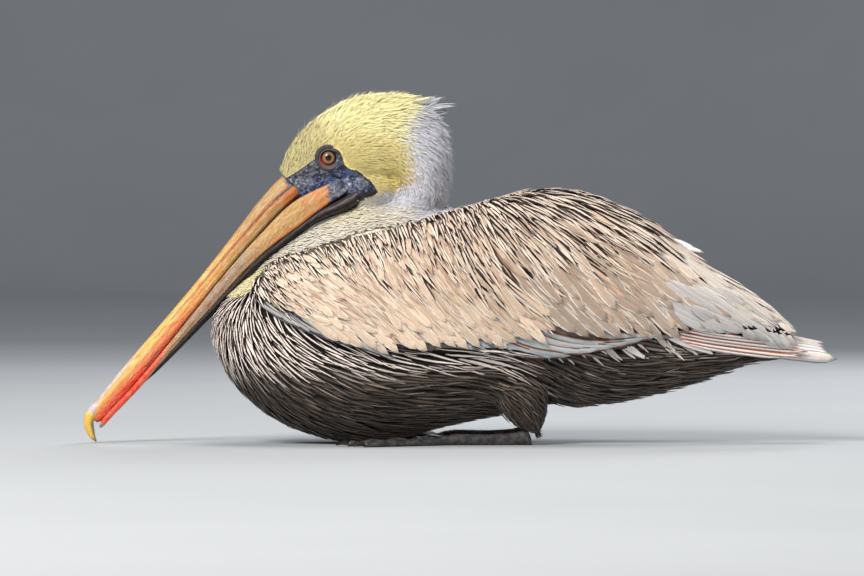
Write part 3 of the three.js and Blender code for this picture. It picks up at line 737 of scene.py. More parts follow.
def horn_material(name, roughness, streak):
    """Horn with colours from its vertices and streaks that run along it, and slate where it ends."""
    material, tree, shader = new_material(name)
    tint = add(tree, "Attribute", attribute_name="tint")
    grain = add(tree, "Attribute", attribute_name="grain").outputs["Vector"]
    warm = smooth(tree, noise(tree, grain, 3.2, 6.0, 0.75), 0.46, 0.58)
    grey = smooth(tree, noise(tree, grain, 6.4, 5.0, 0.7), 0.50, 0.62)
    dark = smooth(tree, noise(tree, grain, 2.1, 6.0, 0.8), 0.62, 0.74)
    scales = noise(tree, grain, 12.0, 5.0, 0.75)
    orange = multiplied(tree, maths(tree, "MULTIPLY", warm, streak), tint.outputs["Color"],
                        colour4(srgb(250, 170, 76)))
    dull = mixed(tree, maths(tree, "MULTIPLY", grey, streak * 0.45), orange, colour4(srgb(206, 200, 164)))
    worn = mixed(tree, maths(tree, "MULTIPLY", dark, streak * 0.6), dull, colour4(srgb(112, 84, 60)))
    drawn_out = add(tree, "VectorMath", {0: grain, 1: (1.0, 5.0, 5.0)}, operation="MULTIPLY").outputs[0]
    lines = noise(tree, drawn_out, 3.0)
    worn = shaded(tree, worn, smooth(tree, lines, 0.36, 0.5, 1 - 0.36 * streak, 1.0))
    pale = maths(tree, "MULTIPLY", smooth(tree, lines, 0.54, 0.66), streak * 0.4)
    worn = mixed(tree, pale, worn, colour4(srgb(238, 222, 176)))
    horn = shaded(tree, worn, maths(tree, "MULTIPLY_ADD", scales, 1.5, 0.2))
    face, face_grain = slate(tree, add(tree, "TexCoord").outputs["Object"])
    tree.links.new(mixed(tree, tint.outputs["Alpha"], face, horn), shader.inputs["Base Color"])
    shader.inputs["Roughness"].default_value = roughness
    off_horn = maths(tree, "SUBTRACT", 1.0, tint.outputs["Alpha"])
    relief = maths(tree, "MULTIPLY_ADD", off_horn, face_grain, scales)
    bumped(tree, shader, relief, 0.45)
    return material


def grained_material(name, dark, light, scale, roughness, depth):
    """Plain skin or claw with a pebbled grain."""
    material, tree, shader = new_material(name)
    place = add(tree, "TexCoord").outputs["Object"]
    cells = add(tree, "TexVoronoi", {"Vector": place, "Scale": scale}, feature="DISTANCE_TO_EDGE").outputs[0]
    cloud = noise(tree, place, scale * 0.3)
    edge = smooth(tree, cells, 0.0, 0.12)
    colour = mixed(tree, smooth(tree, cloud, 0.35, 0.65), colour4(dark), colour4(light))
    tree.links.new(shaded(tree, colour, smooth(tree, cells, 0.0, 0.1, 0.6, 1.0)), shader.inputs["Base Color"])
    shader.inputs["Roughness"].default_value = roughness
    bumped(tree, shader, edge, depth)
    return material


def eye_material():
    """A wet surface over the colours of the eye's vertices."""
    material, tree, shader = new_material("eye")
    tint = add(tree, "Attribute", attribute_name="tint")
    place = add(tree, "TexCoord").outputs["Object"]
    flecks = maths(tree, "MULTIPLY_ADD", noise(tree, place, 1500.0), 0.7, 0.65)
    tree.links.new(shaded(tree, tint.outputs["Color"], flecks), shader.inputs["Base Color"])
    shader.inputs["Roughness"].default_value = 0.25
    shader.inputs["Specular IOR Level"].default_value = 0.2
    shader.inputs["Coat Weight"].default_value = 0.6
    shader.inputs["Coat Roughness"].default_value = 0.02
    return material


PLUSH = feather_material("plush", 0.9, 0.0, 0.5, 0.95, 0.3)
BODY = feather_material("body_feathers", 0.75, 0.06, 0.35, 0.9, 0.6, 0.35)
SMALL = feather_material("small_feathers", 0.75, 0.0, 0.25, 0.9, 0.5)
LARGE = feather_material("large_feathers", 0.65, 0.12, 0.15, 0.8, 0.3, 0.6)
SKIN = skin_material()
HORN = horn_material("bill_horn", 0.42, 0.9)
NAIL = horn_material("nail_horn", 0.32, 0.35)
EYE_GLOSS = eye_material()
LEG = grained_material("leg_skin", srgb(40, 40, 42), srgb(82, 80, 80), 700.0, 0.45, 0.3)
CLAW = grained_material("claw_horn", srgb(26, 22, 20), srgb(60, 52, 46), 180.0, 0.3, 0.05)


# ---------------------------------------------------------------- vanes
def vane_pattern(sections):
    """One vane's triangles and the place of each corner across and along it.

    Its vertices are the root, then left edge, ridge, right edge and underside of each inner
    section, then the tip. Across runs from 0 to 1 on the upper side and back on the lower side.
    """
    tris, spots = [], []
    share = np.linspace(0, 1, sections)
    across = (0, 0.5, 1, 0.5, 0)
    tip = 1 + 4 * (sections - 2)
    last = sections - 2

    def number(section, place):
        return 1 + 4 * (section - 1) + place % 4

    for place in range(4):
        u0, u1 = across[place], across[place + 1]
        tris.append((0, number(1, place + 1), number(1, place)))
        spots.append(((0.5, 0), (u1, share[1]), (u0, share[1])))
        tris.append((number(last, place), number(last, place + 1), tip))
        spots.append(((u0, share[last]), (u1, share[last]), (0.5, 1)))
        for s in range(1, last):
            a, b = number(s, place), number(s, place + 1)
            c, d = number(s + 1, place + 1), number(s + 1, place)
            tris += [(a, b, c), (a, c, d)]
            low, high = share[s], share[s + 1]
            spots += [((u0, low), (u1, low), (u1, high)), ((u0, low), (u1, high), (u0, high))]
    return np.array(tris), np.array(spots)


def vane_vertices(spine, normal, half_width, thick, camber):
    """Vertices of many vanes from spines given as vane by section by place."""
    forward = unit(np.gradient(spine, axis=1))
    side = unit(np.cross(forward, normal))
    up = unit(np.cross(side, forward))
    w = half_width[..., None]
    t = thick[..., None]
    drop = up * w * camber
    inner = slice(1, -1)
    four = np.stack([
        (spine - side * w - drop)[:, inner],
        (spine + up * t)[:, inner],
        (spine + side * w - drop)[:, inner],
        (spine - up * t)[:, inner],
    ], 2)
    return np.concatenate([spine[:, :1], four.reshape(len(spine), -1, 3), spine[:, -1:]], 1)


def unwrap(points):
    """A place on an unwrap of the bird's own shape, rolled out round its long axis and its neck."""
    head = points[:, 2] > 232
    centre = np.where(head, 285, 120)
    turn = np.arctan2(points[:, 1], points[:, 2] - centre) / (2 * np.pi) + 0.5
    length = (points[:, 0] + 370) / 740
    return np.column_stack([0.02 + 0.96 * length, np.where(head, 0.52, 0.02) + 0.46 * turn])


BAKE_PATCH = 0.003  # how wide the patch of each vane is on the OFBake map
FLOOR_GAP = 0.3  # the lowest that a vane may come

# How wide a vane is along its length, from 0 at the root to 1 at the tip.
LANCE = lambda s: np.sin(np.pi * np.clip(s, 0.02, 0.985) ** 0.8) ** 0.7
PETAL = lambda s: np.minimum(1, (s / 0.45) ** 0.7) * np.clip((1 - s) / 0.34, 0, 1) ** 0.6
BLADE = lambda s: np.minimum(1, (s / 0.25) ** 0.6) * np.clip((1 - s) / 0.16, 0, 1) ** 0.5
POINTED = lambda s: np.minimum(1, (s / 0.25) ** 0.6) * np.clip((1 - s) / 0.12, 0, 1) ** 0.8


def even_tones(count, middle, edge, share):
    """The same middle and edge colours and middle's share for all of some vanes."""
    return np.tile(middle, (count, 1)), np.tile(edge, (count, 1)), np.full(count, share)


def feathers(name, spine, normal, width, colours, material, shape=LANCE, thick=0.3, camber=0.25,
             soft=0.0):
    """One joined object of closed vanes; colours is middle, edge and middle's share of each vane.

    Soft vanes are shaded partly as the smooth coat that they lie on.
    """
    count, sections = spine.shape[:2]
    share = np.linspace(0, 1, sections)
    half_width = width[:, None] * shape(share)[None]
    vertices = vane_vertices(spine, normal, half_width, np.minimum(thick, half_width * 0.5), camber)
    vertices[..., 2] = np.maximum(vertices[..., 2], FLOOR_GAP)
    tris, spots = vane_pattern(sections)
    per = vertices.shape[1]
    corners = (tris[None] + (np.arange(count) * per)[:, None, None]).ravel()
    mesh = mesh_of(name, vertices.reshape(-1, 3), corners, np.full(count * len(tris), 3))
    obj = piece(name, mesh, material)
    if soft:
        lying = np.concatenate([normal[:, :1], np.repeat(normal[:, 1:-1], 4, 1), normal[:, -1:]], 1)
        own = np.array([n.vector[:] for n in mesh.vertex_normals]).reshape(lying.shape)
        mesh.normals_split_custom_set_from_vertices(unit(own * (1 - soft) + lying * soft).reshape(-1, 3))
    middle, edge, part = colours
    set_colour(obj, "middle", np.repeat(np.column_stack([middle, part]), per, 0))
    set_colour(obj, "edge", np.repeat(np.column_stack([edge, rng.random(count)]), per, 0))
    length = np.linalg.norm(np.diff(spine, axis=1), axis=2).sum(1)
    flat = np.broadcast_to(spots.reshape(1, -1, 2), (count, len(tris) * 3, 2))
    vane = flat * np.stack([np.ones(count), length], -1)[:, None]
    set_corner_uv(obj, "vane", vane.reshape(-1, 2))
    patch = unwrap(spine[:, 0])[:, None] + (flat - 0.5) * BAKE_PATCH
    set_corner_uv(obj, "OFBake", patch.reshape(-1, 2))
    return obj


def grow(roots, normals, lie, length, depth, lift, sections, wild=0.1):
    """Spines that follow the coat from the skin at the root to a little above it at the tip.

    A spine that comes to a sharp edge of the coat goes straight on over it.
    """
    places, ups = [roots], [normals]
    at, up = roots, normals
    heading = lie(at, up)
    turn = rng.normal(0, wild, len(roots))
    for _ in range(sections - 1):
        side = np.cross(up, heading)
        heading = unit(heading * np.cos(turn)[:, None] + side * np.sin(turn)[:, None])
        ahead = at + heading * (length / (sections - 1))[:, None]
        found, face_up = coat.nearest(ahead)
        lost = np.linalg.norm(found - ahead, axis=1) > 0.7 * length / (sections - 1)
        over = (((face_up * up).sum(1) < 0.55) | lost)[:, None]
        at = np.where(over, ahead, found)
        up = np.where(over, up, face_up)
        wanted = unit(along_surface(heading, up) * 0.5 + lie(at, up) * 0.5)
        heading = np.where(over, heading, wanted)
        places.append(at)
        ups.append(up)
    spine, normal = np.stack(places, 1), np.stack(ups, 1)
    share = np.linspace(0, 1, sections)[None]
    height = -depth[:, None] * (1 - share) ** 1.2 + lift[:, None] * share**1.5
    return spine + normal * height[..., None], normal


# ---------------------------------------------------------------- skin
HEAD_COAT = 2.4
LOOSE_COAT = 2.6  # how much deeper the coat is where it is loosest
BODY_COAT = 5.0


def coat_depth(points):
    """How deep the coat is: none on the bare face, little on the head and most on the body."""
    deep = np.where(is_neck(points), HEAD_COAT + LOOSE_COAT * looseness(points), BODY_COAT)
    return np.where(is_bare(points), 0.0, deep)


FACE_FRAME = (284, 384, 144, 236)  # left, right, top and bottom of the part with fine folds, in pixels


def in_face_frame(points, margin=0):
    across, down = pixels(points)
    left, right, top, bottom = FACE_FRAME
    sides = (across > left - margin) & (across < right + margin)
    return sides & (down > top - margin) & (down < bottom + margin)


def refined_face(mesh):
    """Cuts the mesh of the bare face finer, for its folds."""
    bm = bmesh.new()
    bm.from_mesh(mesh)
    for _ in range(2):
        bm.verts.ensure_lookup_table()
        at = np.array([v.co[:] for v in bm.verts]) / MM
        near = in_face_frame(at) & (np.abs(at[:, 1]) > 4)
        edges = [e for e in bm.edges if near[e.verts[0].index] and near[e.verts[1].index]]
        bmesh.ops.subdivide_edges(bm, edges=edges, cuts=1, use_grid_fill=True)
        bm.verts.index_update()
    bmesh.ops.triangulate(bm, faces=[f for f in bm.faces if len(f.verts) > 4])
    bm.to_mesh(mesh)
    bm.free()
    co = mesh_places(mesh)
    near = in_face_frame(co, 2)
    smoothed = relaxed(co, mesh_edges(mesh), 3)
    set_places(mesh, np.where(near[:, None], smoothed, co))


GAPE_RIDGE = [(300, 203), (318, 192), (335, 183), (352, 178), (366, 180), (377, 190)]
GAPE_LINE = [(300, 203), (318, 192), (335, 183), (350, 176)]
GAPE_RIDGE_AT = curve([(284, 213), (300, 203), (318, 192), (335, 183), (352, 177), (366, 176), (380, 178)])
GAPE_SWELL = [(346, 184), (368, 188)]
FACE_CREASES = [
    [(292, 178), (303, 176), (314, 172), (322, 170)],
    [(336, 172), (346, 170), (356, 173), (366, 179)],
    [(326, 176), (338, 178), (350, 182), (362, 188)],
]


def face_folds(points):
    """How far the bare face stands out: the ridge and swelling of the gape, and the creases."""
    push = 0.9 * hump(path_distance(points, GAPE_RIDGE), 2.2)
    push += 2.4 * hump(path_distance(points, GAPE_SWELL), 7.0)
    for crease in FACE_CREASES:
        push -= 0.55 * hump(path_distance(points, crease), 1.4)
    return push


def face_colours(points):
    """Tints of the bare face, darkest at its border and below the gape, and blue above its line."""
    across, down = pixels(points)
    # painted shade: darker at the border, under the feathers' edge
    border = np.minimum(step(0, 3.0, down - FACE_TOP(across)), step(0, 4, FACE_BACK - across))
    # painted shade in the crease below the gape's ridge
    fold = 1 - 0.6 * np.exp(-((path_distance(points, GAPE_RIDGE) / 2.0) ** 2) * step(0, 3, down - 178))
    black = step(-1.5, 1.5, down - GAPE_LOW(across))
    # painted highlight along the gape's ridge
    lip = 0.5 * hump(path_distance(points, GAPE_RIDGE), 1.6) * step(338, 350, across)
    above = hump(path_distance(points, GAPE_LINE), 9) * step(4, -2, down - GAPE_RIDGE_AT(across))
    lobe = step(-1, 3, down - GAPE_RIDGE_AT(across)) * step(318, 332, across)
    shade = (0.25 + 0.75 * border * fold + lip) * (1 - 0.85 * black)
    shade *= 1 - 0.55 * lobe * step(350, 372, across + 1.2 * (down - 184))
    hue = blend(blend(np.tile([1.0, 0.98, 0.96], (len(points), 1)), np.array([0.5, 0.78, 1.45]), above),
                np.array([0.85, 0.92, 1.12]), lobe)
    return hue * shade[:, None]


def skin():
    """One skin under the whole coat, bare and folded on the face."""
    made = Surface(relaxed(coat.places, face_edges(coat.faces), 4), coat.faces)
    room = made.thickness(made.places, made.normals)
    depth = np.minimum(coat_depth(made.places), room * 0.3)
    near_eye = np.minimum(eyes.distance(made.places) / 6, 1)
    places = made.places - made.normals * (depth * near_eye)[:, None]
    places = relaxed(places, face_edges(coat.faces), 1)
    mesh = mesh_of("skin", places, made.faces.ravel(), np.full(len(made.faces), 4))
    refined_face(mesh)
    co = mesh_places(mesh)
    bare = is_bare(co)
    mesh.update()
    fine = np.zeros(len(mesh.vertices) * 3, np.float32)
    mesh.vertices.foreach_get("normal", fine)
    fine = fine.reshape(-1, 3)
    co = co + fine * (face_folds(co) * bare)[:, None]
    set_places(mesh, co)
    mesh.update()
    obj = piece("skin", mesh, SKIN)
    tint = np.where(bare[:, None], face_colours(co), skin_colour(co))
    set_colour(obj, "tint", np.column_stack([tint, bare.astype(float)]))
    bake_uv(obj)
    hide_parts(*FLESH)
    return obj


# ---------------------------------------------------------------- plumage
TUFTS_PER_PIECE = 11500
FEATHERS_PER_PIECE = 4500


def chosen(mask, *arrays):
    return [a[mask] for a in arrays]


def in_lots(name, lots, make):
    """Makes a coat in several pieces, since one piece holds fewer than 200,000 triangles."""
    for k, lot in enumerate(lots):
        make(f"{name}_{k + 1}", lot)


def head_plumage():
    """Soft short tufts, shortest round the face and loosest on the crown and the nape."""
    c = coat.centres
    across, down = pixels(c)
    clear = (eyes.distance(c) > 3.5) & (bills.distance(c) > 0.9)
    wanted = is_neck(c, 3.0) & ~is_bare(c) & clear
    gap = 1.85 - 0.5 * step(235, 200, down)
    roots, normals = coat.scatter(wanted, gap)
    across, down = pixels(roots)
    count = len(roots)
    face = step(0, 16, path_distance(roots, FACE_EDGE))
    loose = looseness(roots)
    length = (7.5 + 4.0 * loose) * (0.5 + 0.5 * face) * rng.uniform(0.8, 1.2, count)
    nape = step(428, 438, across) * step(118, 130, down)
    lift = (0.2 + loose * (rng.uniform(-2.4, 2.6, count) - 4.0 * nape)) * face
    width = rng.uniform(0.5, 0.8, count) * (0.75 + 0.25 * face)
    depth = (HEAD_COAT + LOOSE_COAT * loose) * 0.85
    spine, normal = grow(roots, normals, head_lie, length, depth, lift, 4, 0.12)
    colour = head_colour(roots)
    order = np.argsort(across)
    lots = np.array_split(order, math.ceil(count / TUFTS_PER_PIECE))

    def make(name, lot):
        tones = (colour[lot], colour[lot] * 0.93, rng.uniform(0.4, 0.8, len(lot)))
        feathers(name, spine[lot], normal[lot], width[lot], tones, PLUSH, thick=0.15,
                 camber=0.1, soft=0.93)

    in_lots("head_plumage", lots, make)


def reach_to_edge(roots, length):
    """How much of its length each wing feather may have before it passes the coverts' last tips."""
    across, down = pixels(roots)
    lie = np.radians(tract(roots)[:, 0])
    part = np.linspace(0, 1, 25)[None]
    reach = part * length[:, None] / PIXEL
    x = across[:, None] + reach * np.cos(lie)[:, None]
    y = down[:, None] + reach * np.sin(lie)[:, None]
    rows = 3 + 4 * step(300, 350, x) + 5 * step(560, 640, x)
    inside = y < COVERTS_LOW(x) - rows + rng.normal(0, 3, (len(roots), 1))
    return np.cumprod(inside, axis=1).sum(1) / 25


def plumage_roots():
    """Where the feathers of the body grow, and the way that the coat faces there."""
    c = coat.centres
    across, down = pixels(c)
    size = tract(c)
    upper = down < WING_LOW(across)
    gap = np.where(upper, 0.60, 0.52) * np.sqrt(size[:, 1] * size[:, 2])
    steep = coat.face_normals[:, 0] > 0.8
    rear = (across > 720) & (np.abs(coat.face_normals[:, 2]) < 0.35)
    clear = ~is_neck(c, -2.0) & (bills.distance(c) > 1.5)
    wanted = clear & (across < 770) & ~(steep & (across > 600)) & ~rear
    return coat.scatter(wanted, gap, body_lie, 2.2)


def body_plumage():
    """The feathers of breast, belly, back and wings, each in its tract's size and lie."""
    roots, normals = plumage_roots()
    across, down = pixels(roots)
    count = len(roots)
    on_wing = (wings.distance(roots) < 2.5) & (normals[:, 2] > -0.35)
    edge = WING_LOW(across) + rng.normal(0, 2, count)
    top = (on_wing | (down < edge) | (across > 715)) & (across > 258 - 4 * (down > 290))
    top &= normals[:, 2] > -0.35
    room = coat.thickness(roots, normals)
    size = tract(roots)
    length = size[:, 1] * rng.uniform(0.8, 1.2, count)
    share = reach_to_edge(roots, length)
    length = np.where(top, length * np.maximum(share, 0.3), length)
    width = size[:, 2] * rng.uniform(0.7, 1.25, count)
    depth = np.minimum(np.where(top, 3.6, BODY_COAT), 0.3 * room)
    lift = rng.uniform(0.1, 1.0, count) * np.minimum(1, width / 3)
    kept = ~top | (share > 0.22)
    lift += np.where(top, 0, 3.0 * rng.random(count) ** 2 * step(560, 640, across) * step(350, 372, down))
    small = size[:, 2] < 2.9
    for part, mask, material, slot, paint, sections, shape in (
        ("mantle", kept & top & small, SMALL, "wing_plumage", wing_colours, 7, LANCE),
        ("coverts", kept & top & ~small, BODY, "wing_plumage", wing_colours, 10, PETAL),
        ("belly", ~top, SMALL, "body_plumage", belly_colours, 8, LANCE),
    ):
        r, n, l, w, d, h = chosen(mask, roots, normals, length, width, depth, lift)
        middle, edge, inner = paint(r)
        if part == "coverts":
            # Some coverts are narrow, dark and set low: the dark hidden bases of feathers, and painted shade
            # in the gaps between them.
            under = (rng.random(len(r)) < 0.13) & (pixels(r)[0] < 690)
            w = np.where(under, 0.6 * w, w)
            middle = np.where(under[:, None], UNDERLAP_AND_SHADE, middle)
            edge = np.where(under[:, None], DARK, edge)
            h = np.where(under, -1.2, h)
        spine, normal = grow(r, n, body_lie, l, d, h, sections, 0.05)
        lying = coat.distance(spine[:, -1]) < (8.0 if part == "belly" else 4.0)
        lying &= (spine[:, -1, 2] - spine[:, 0, 2] < 5.0) | (pixels(r)[0] > NECK_BACK + 30)
        r, w, middle, edge, inner = chosen(lying, r, w, middle, edge, inner)
        spine, normal = spine[lying], normal[lying]
        lots = np.array_split(np.argsort(r[:, 0]), math.ceil(len(r) / FEATHERS_PER_PIECE))

        def make(name, lot):
            tones = (middle[lot], edge[lot], inner[lot])
            feathers(name, spine[lot], normal[lot], w[lot], tones, material, shape, soft=0.6)

        in_lots(part, lots, make)


def wisps():
    """Loose strands of barbs that hang over the coverts and blur the feathers' edges."""
    c = coat.centres
    across, down = pixels(c)
    size = tract(c)
    above = step(-14, -24, down - COVERTS_LOW(across))
    side_on = (coat.face_normals[:, 2] > -0.2) & (coat.face_normals[:, 2] < 0.6)
    clear = (down > NECK_END(across) + 12) & (c[:, 1] * coat.face_normals[:, 1] > 0)
    wanted = (size[:, 2] > 2.0) & (above > 0) & clear & (across < 640) & side_on
    roots, normals = coat.scatter(wanted, 5.6 + 0 * across, body_lie, 1.8)
    count = len(roots)
    length = rng.uniform(16, 34, count)
    length = length * np.maximum(reach_to_edge(roots, length), 0.3)
    lift = rng.uniform(0.4, 1.3, count)
    spine, normal = grow(roots, normals, body_lie, length, np.full(count, 0.6), lift, 6, 0.06)
    spine, normal = chosen(spine[:, -1, 2] < spine[:, 0, 2], spine, normal)
    count = len(spine)
    warm = (rng.random(count) < 0.45).astype(float)
    tone = blend(np.tile((RIM + BUFF) / 2, (count, 1)), WARM_BUFF * 0.85, warm)
    tones = (tone, tone * 0.9, np.full(count, 0.6))
    width = rng.uniform(0.35, 0.75, count)
    feathers("wing_wisps", spine, normal, width, tones, SMALL, thick=0.15, soft=0.7)


# ---------------------------------------------------------------- long feathers of the wing
class Row:
    """A row of long feathers: where the tips are, how they lie, their sizes and their colours.

    Tips are pixels. Lies are degrees below straight back, and bend is how much more at the root.
    Stray is how far a tip may be from its place, in pixels. Lift and deep are how high the tip and
    how low the root is over the surface. Colours are middle, edge and the middle's share.
    """

    def __init__(self, name, tips, lies, lengths, widths, count, lift, colours, bend=0.0, stray=1.5,
                 deep=2.0, surface=coat, shape=BLADE):
        self.name, self.lift, self.colours, self.bend = name, lift, colours, math.radians(bend)
        self.shape = shape
        self.stray, self.deep, self.surface = stray, deep, surface
        path = np.array(tips, float)
        steps = np.concatenate([[0], np.cumsum(np.linalg.norm(np.diff(path, axis=0), axis=1))])
        at = np.linspace(0, steps[-1], count)
        self.tips = np.column_stack([np.interp(at, steps, path[:, k]) for k in (0, 1)])
        share = at / steps[-1]
        self.lie = np.radians(np.interp(share, np.linspace(0, 1, len(lies)), lies))
        self.length = np.interp(share, np.linspace(0, 1, len(lengths)), lengths)
        self.width = np.interp(share, np.linspace(0, 1, len(widths)), widths)

    def spines(self, side, sections):
        """The row's spines on one side, each an even curve, and the surface's normals along them."""
        share = np.linspace(0, 1, sections)
        count = len(self.tips)
        lie = self.lie + rng.normal(0, 0.02 + 0.025 * self.stray, count)
        reach = (1 - share)[None] * (self.length * rng.uniform(0.85, 1.1, count))[:, None]
        angle = lie[:, None] + self.bend * (1 - share)[None]
        tips = self.tips + rng.normal(0, self.stray, (count, 2))
        tip = np.column_stack([(tips[:, 0] - PIXEL_X0) * PIXEL, (PIXEL_FLOOR - tips[:, 1]) * PIXEL])
        x = tip[:, :1] - reach * np.cos(angle)
        z = tip[:, 1:] + reach * np.sin(angle)
        hit = self.surface.from_side(np.column_stack([x.ravel(), z.ravel()]), side)
        hit[:, 0], hit[:, 2] = x.ravel(), z.ravel()
        _, normal = self.surface.nearest(hit)
        spine, normal = hit.reshape(count, sections, 3), normal.reshape(count, sections, 3)
        powers = np.vander(share, 4)
        spine[..., 1] = (powers @ np.linalg.lstsq(powers, spine[..., 1].T, rcond=None)[0]).T
        normal = unit(normal * 0.3 + unit(normal.mean(1, keepdims=True)) * 0.7)
        height = self.lift * share - self.deep * (1 - share) ** 0.6
        return spine + normal * height[None, :, None], normal


ROWS = [
    Row("flank_flecks", [(556, 364), (574, 362), (590, 360), (606, 358), (624, 352), (642, 352), (664, 351),
                         (686, 353), (712, 353)],
        (46, 36, 22), (20, 32), (2.6, 3.8), 17, 0.4, (srgb(216, 206, 200), srgb(44, 34, 30), 0.5),
        bend=12, stray=4.5, deep=1.2, surface=trunk, shape=LANCE),
    Row("flank_blades", [(643, 356), (711, 352)],
        (34, 24), (30, 54), (3.8, 5.8), 2, 3.0, (srgb(240, 232, 226), srgb(150, 134, 124), 0.85),
        stray=0.3, deep=0.0, surface=trunk, shape=LANCE),
    Row("secondaries_front", [(462, 345), (492, 349), (524, 354)],
        (20, 12), (70, 84), (3.4, 4.0), 6, -0.4, (srgb(158, 164, 168), srgb(84, 78, 76), 0.7),
        bend=16, stray=0.6, deep=4.5),
    Row("secondaries", [(540, 356), (562, 355), (585, 349), (605, 346), (625, 341), (657, 334)],
        (4, -12, -14), (96, 120), (4.2, 4.8), 9, 0.2, (srgb(176, 180, 182), srgb(126, 84, 56), 0.62),
        bend=26, stray=0.6, deep=4.5),
    Row("leading_edge", [(292, 323), (318, 333), (345, 342), (372, 350), (398, 355)],
        (26, 20), (34, 52), (2.0, 2.6), 13, 0.2, (srgb(112, 122, 130), srgb(34, 34, 40), 0.55),
        bend=6, stray=1.0),
    Row("leading_edge_high", [(285, 317), (315, 328), (350, 341), (390, 353)],
        (28, 24), (34, 52), (2.2, 3.0), 12, 0.6, (srgb(176, 172, 168), srgb(84, 86, 92), 0.66),
        bend=6, stray=1.2),
    Row("greater_coverts", [(340, 337), (365, 345), (391, 351), (424, 346), (462, 345), (500, 343),
                            (522, 342), (543, 342)],
        (36, 43, 40), (64, 80, 90), (4.2, 5.4, 6.0), 17, 1.6, (srgb(216, 193, 170), RIM, 0.74),
        bend=8, stray=1.8),
    Row("scapulars", [(574, 331), (602, 334), (638, 333), (670, 339), (685, 328), (701, 330), (718, 321),
                      (731, 317)],
        (42, 42, 40), (88, 96), (6.2, 6.0), 12, 2.0, (srgb(178, 160, 144), RIM, 0.74), bend=5, stray=1.8),
    Row("median_coverts", [(318, 316), (352, 322), (390, 331), (424, 327), (462, 325), (500, 323),
                           (543, 320)],
        (36, 44, 42), (48, 66), (3.4, 4.4), 18, 1.4, (srgb(214, 190, 166), RIM, 0.72), bend=6, stray=6.0),
    Row("scapulars_high", [(562, 306), (590, 312), (622, 312), (655, 312), (676, 300), (700, 297)],
        (42, 40, 38), (76, 88), (4.8, 5.4), 13, 1.9, (srgb(184, 162, 144), RIM, 0.72), bend=4, stray=5.0),
    Row("rump_side", [(708, 329), (728, 330), (745, 335), (762, 339), (778, 344), (792, 348)],
        (24, 28), (70, 100), (5.6, 5.8), 11, 1.8, (srgb(190, 186, 184), srgb(226, 220, 216), 0.78),
        bend=4, stray=1.4, deep=0.2),
    Row("rump_high", [(716, 312), (738, 324), (760, 331), (780, 339), (794, 345)],
        (30, 33), (64, 92), (5.6, 6.2), 12, 1.2, (srgb(196, 190, 186), srgb(226, 220, 214), 0.78),
        bend=2, stray=0.8, deep=-0.4),
    Row("tertials", [(733, 290), (748, 312), (764, 324), (784, 338), (797, 343)],
        (34, 37, 38), (74, 112, 124), (5.2, 6.0), 10, 2.0, (srgb(208, 198, 186), srgb(246, 240, 234), 0.76),
        bend=-3, stray=1.6),
]


def long_feathers():
    for row in ROWS:
        for side_name, side in SIDES:
            spine, normal = row.spines(side, 12)
            count = len(spine)
            middle, edge, share = even_tones(count, *row.colours)
            bright = rng.uniform(0.86, 1.08, (count, 1))
            width = row.width * rng.uniform(0.85, 1.15, count)
            feathers(f"{row.name}_{side_name}", spine, normal, width, (middle * bright, edge, share), LARGE,
                     row.shape, thick=0.45, camber=0.15, soft=0.6)


def far_tertials():
    """The tips of two feathers of the far wing, which stand out above the back."""
    share = np.linspace(0, 1, 10)
    spines = []
    for tip, out in (((705, 253), 13.0), ((696, 248), 15.0)):
        x, z = seen(*tip)
        reach = 46 * (1 - share)
        height = z + reach * 0.34 - 4 * (1 - share) ** 2
        spines.append(np.column_stack([x - reach * 0.93, np.full(len(share), out), height]))
    count = len(spines)
    tones = even_tones(count, srgb(232, 226, 222), RIM, 0.8)
    normal = np.tile(unit(np.array([0.25, -0.75, 0.6])), (count, len(share), 1))
    feathers("far_tertials", np.array(spines), normal, np.full(count, 4.8), tones, LARGE,
             PETAL, 0.45)


def primaries():
    """Narrow white-edged flight feathers, stacked below the end of each wing."""
    share = np.linspace(0, 1, 14)
    tips = [(768, 337), (784, 342), (797, 347), (807, 351), (801, 355), (782, 356)]
    roots = [(686, 327), (678, 328), (673, 331), (672, 334), (676, 338), (684, 342)]
    for side_name, side in SIDES:
        blade = solids("primaries_" + side_name)
        spines, normals = [], []
        for k, (root, tip) in enumerate(zip(roots, tips)):
            a, b = seen(*root), seen(*tip)
            flat = a + (b - a) * share[:, None]
            flat[:, 1] -= 1.2 * np.sin(np.pi * share)
            hit = blade.from_side(flat, side)
            y = np.polyval(np.polyfit(share, hit[:, 1], 2), share) - side * 0.5 * k
            spines.append(np.column_stack([flat[:, 0], y, flat[:, 1]]))
            normals.append(np.tile([0, side * 0.8, 0.6], (len(share), 1)))
        count = len(spines)
        tones = even_tones(count, srgb(204, 124, 100), srgb(255, 242, 234), 0.28)
        obj = feathers("primary_feathers_" + side_name, np.array(spines), np.array(normals),
                       np.full(count, 3.2), tones, LARGE, BLADE, 0.5)
        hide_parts("primaries_" + side_name)


TAIL_TOP = (114.0, 94.0)  # height of the tail's middle at its base and at its end
TAIL_EDGE = (92.0, 81.5)  # the same for its side edges


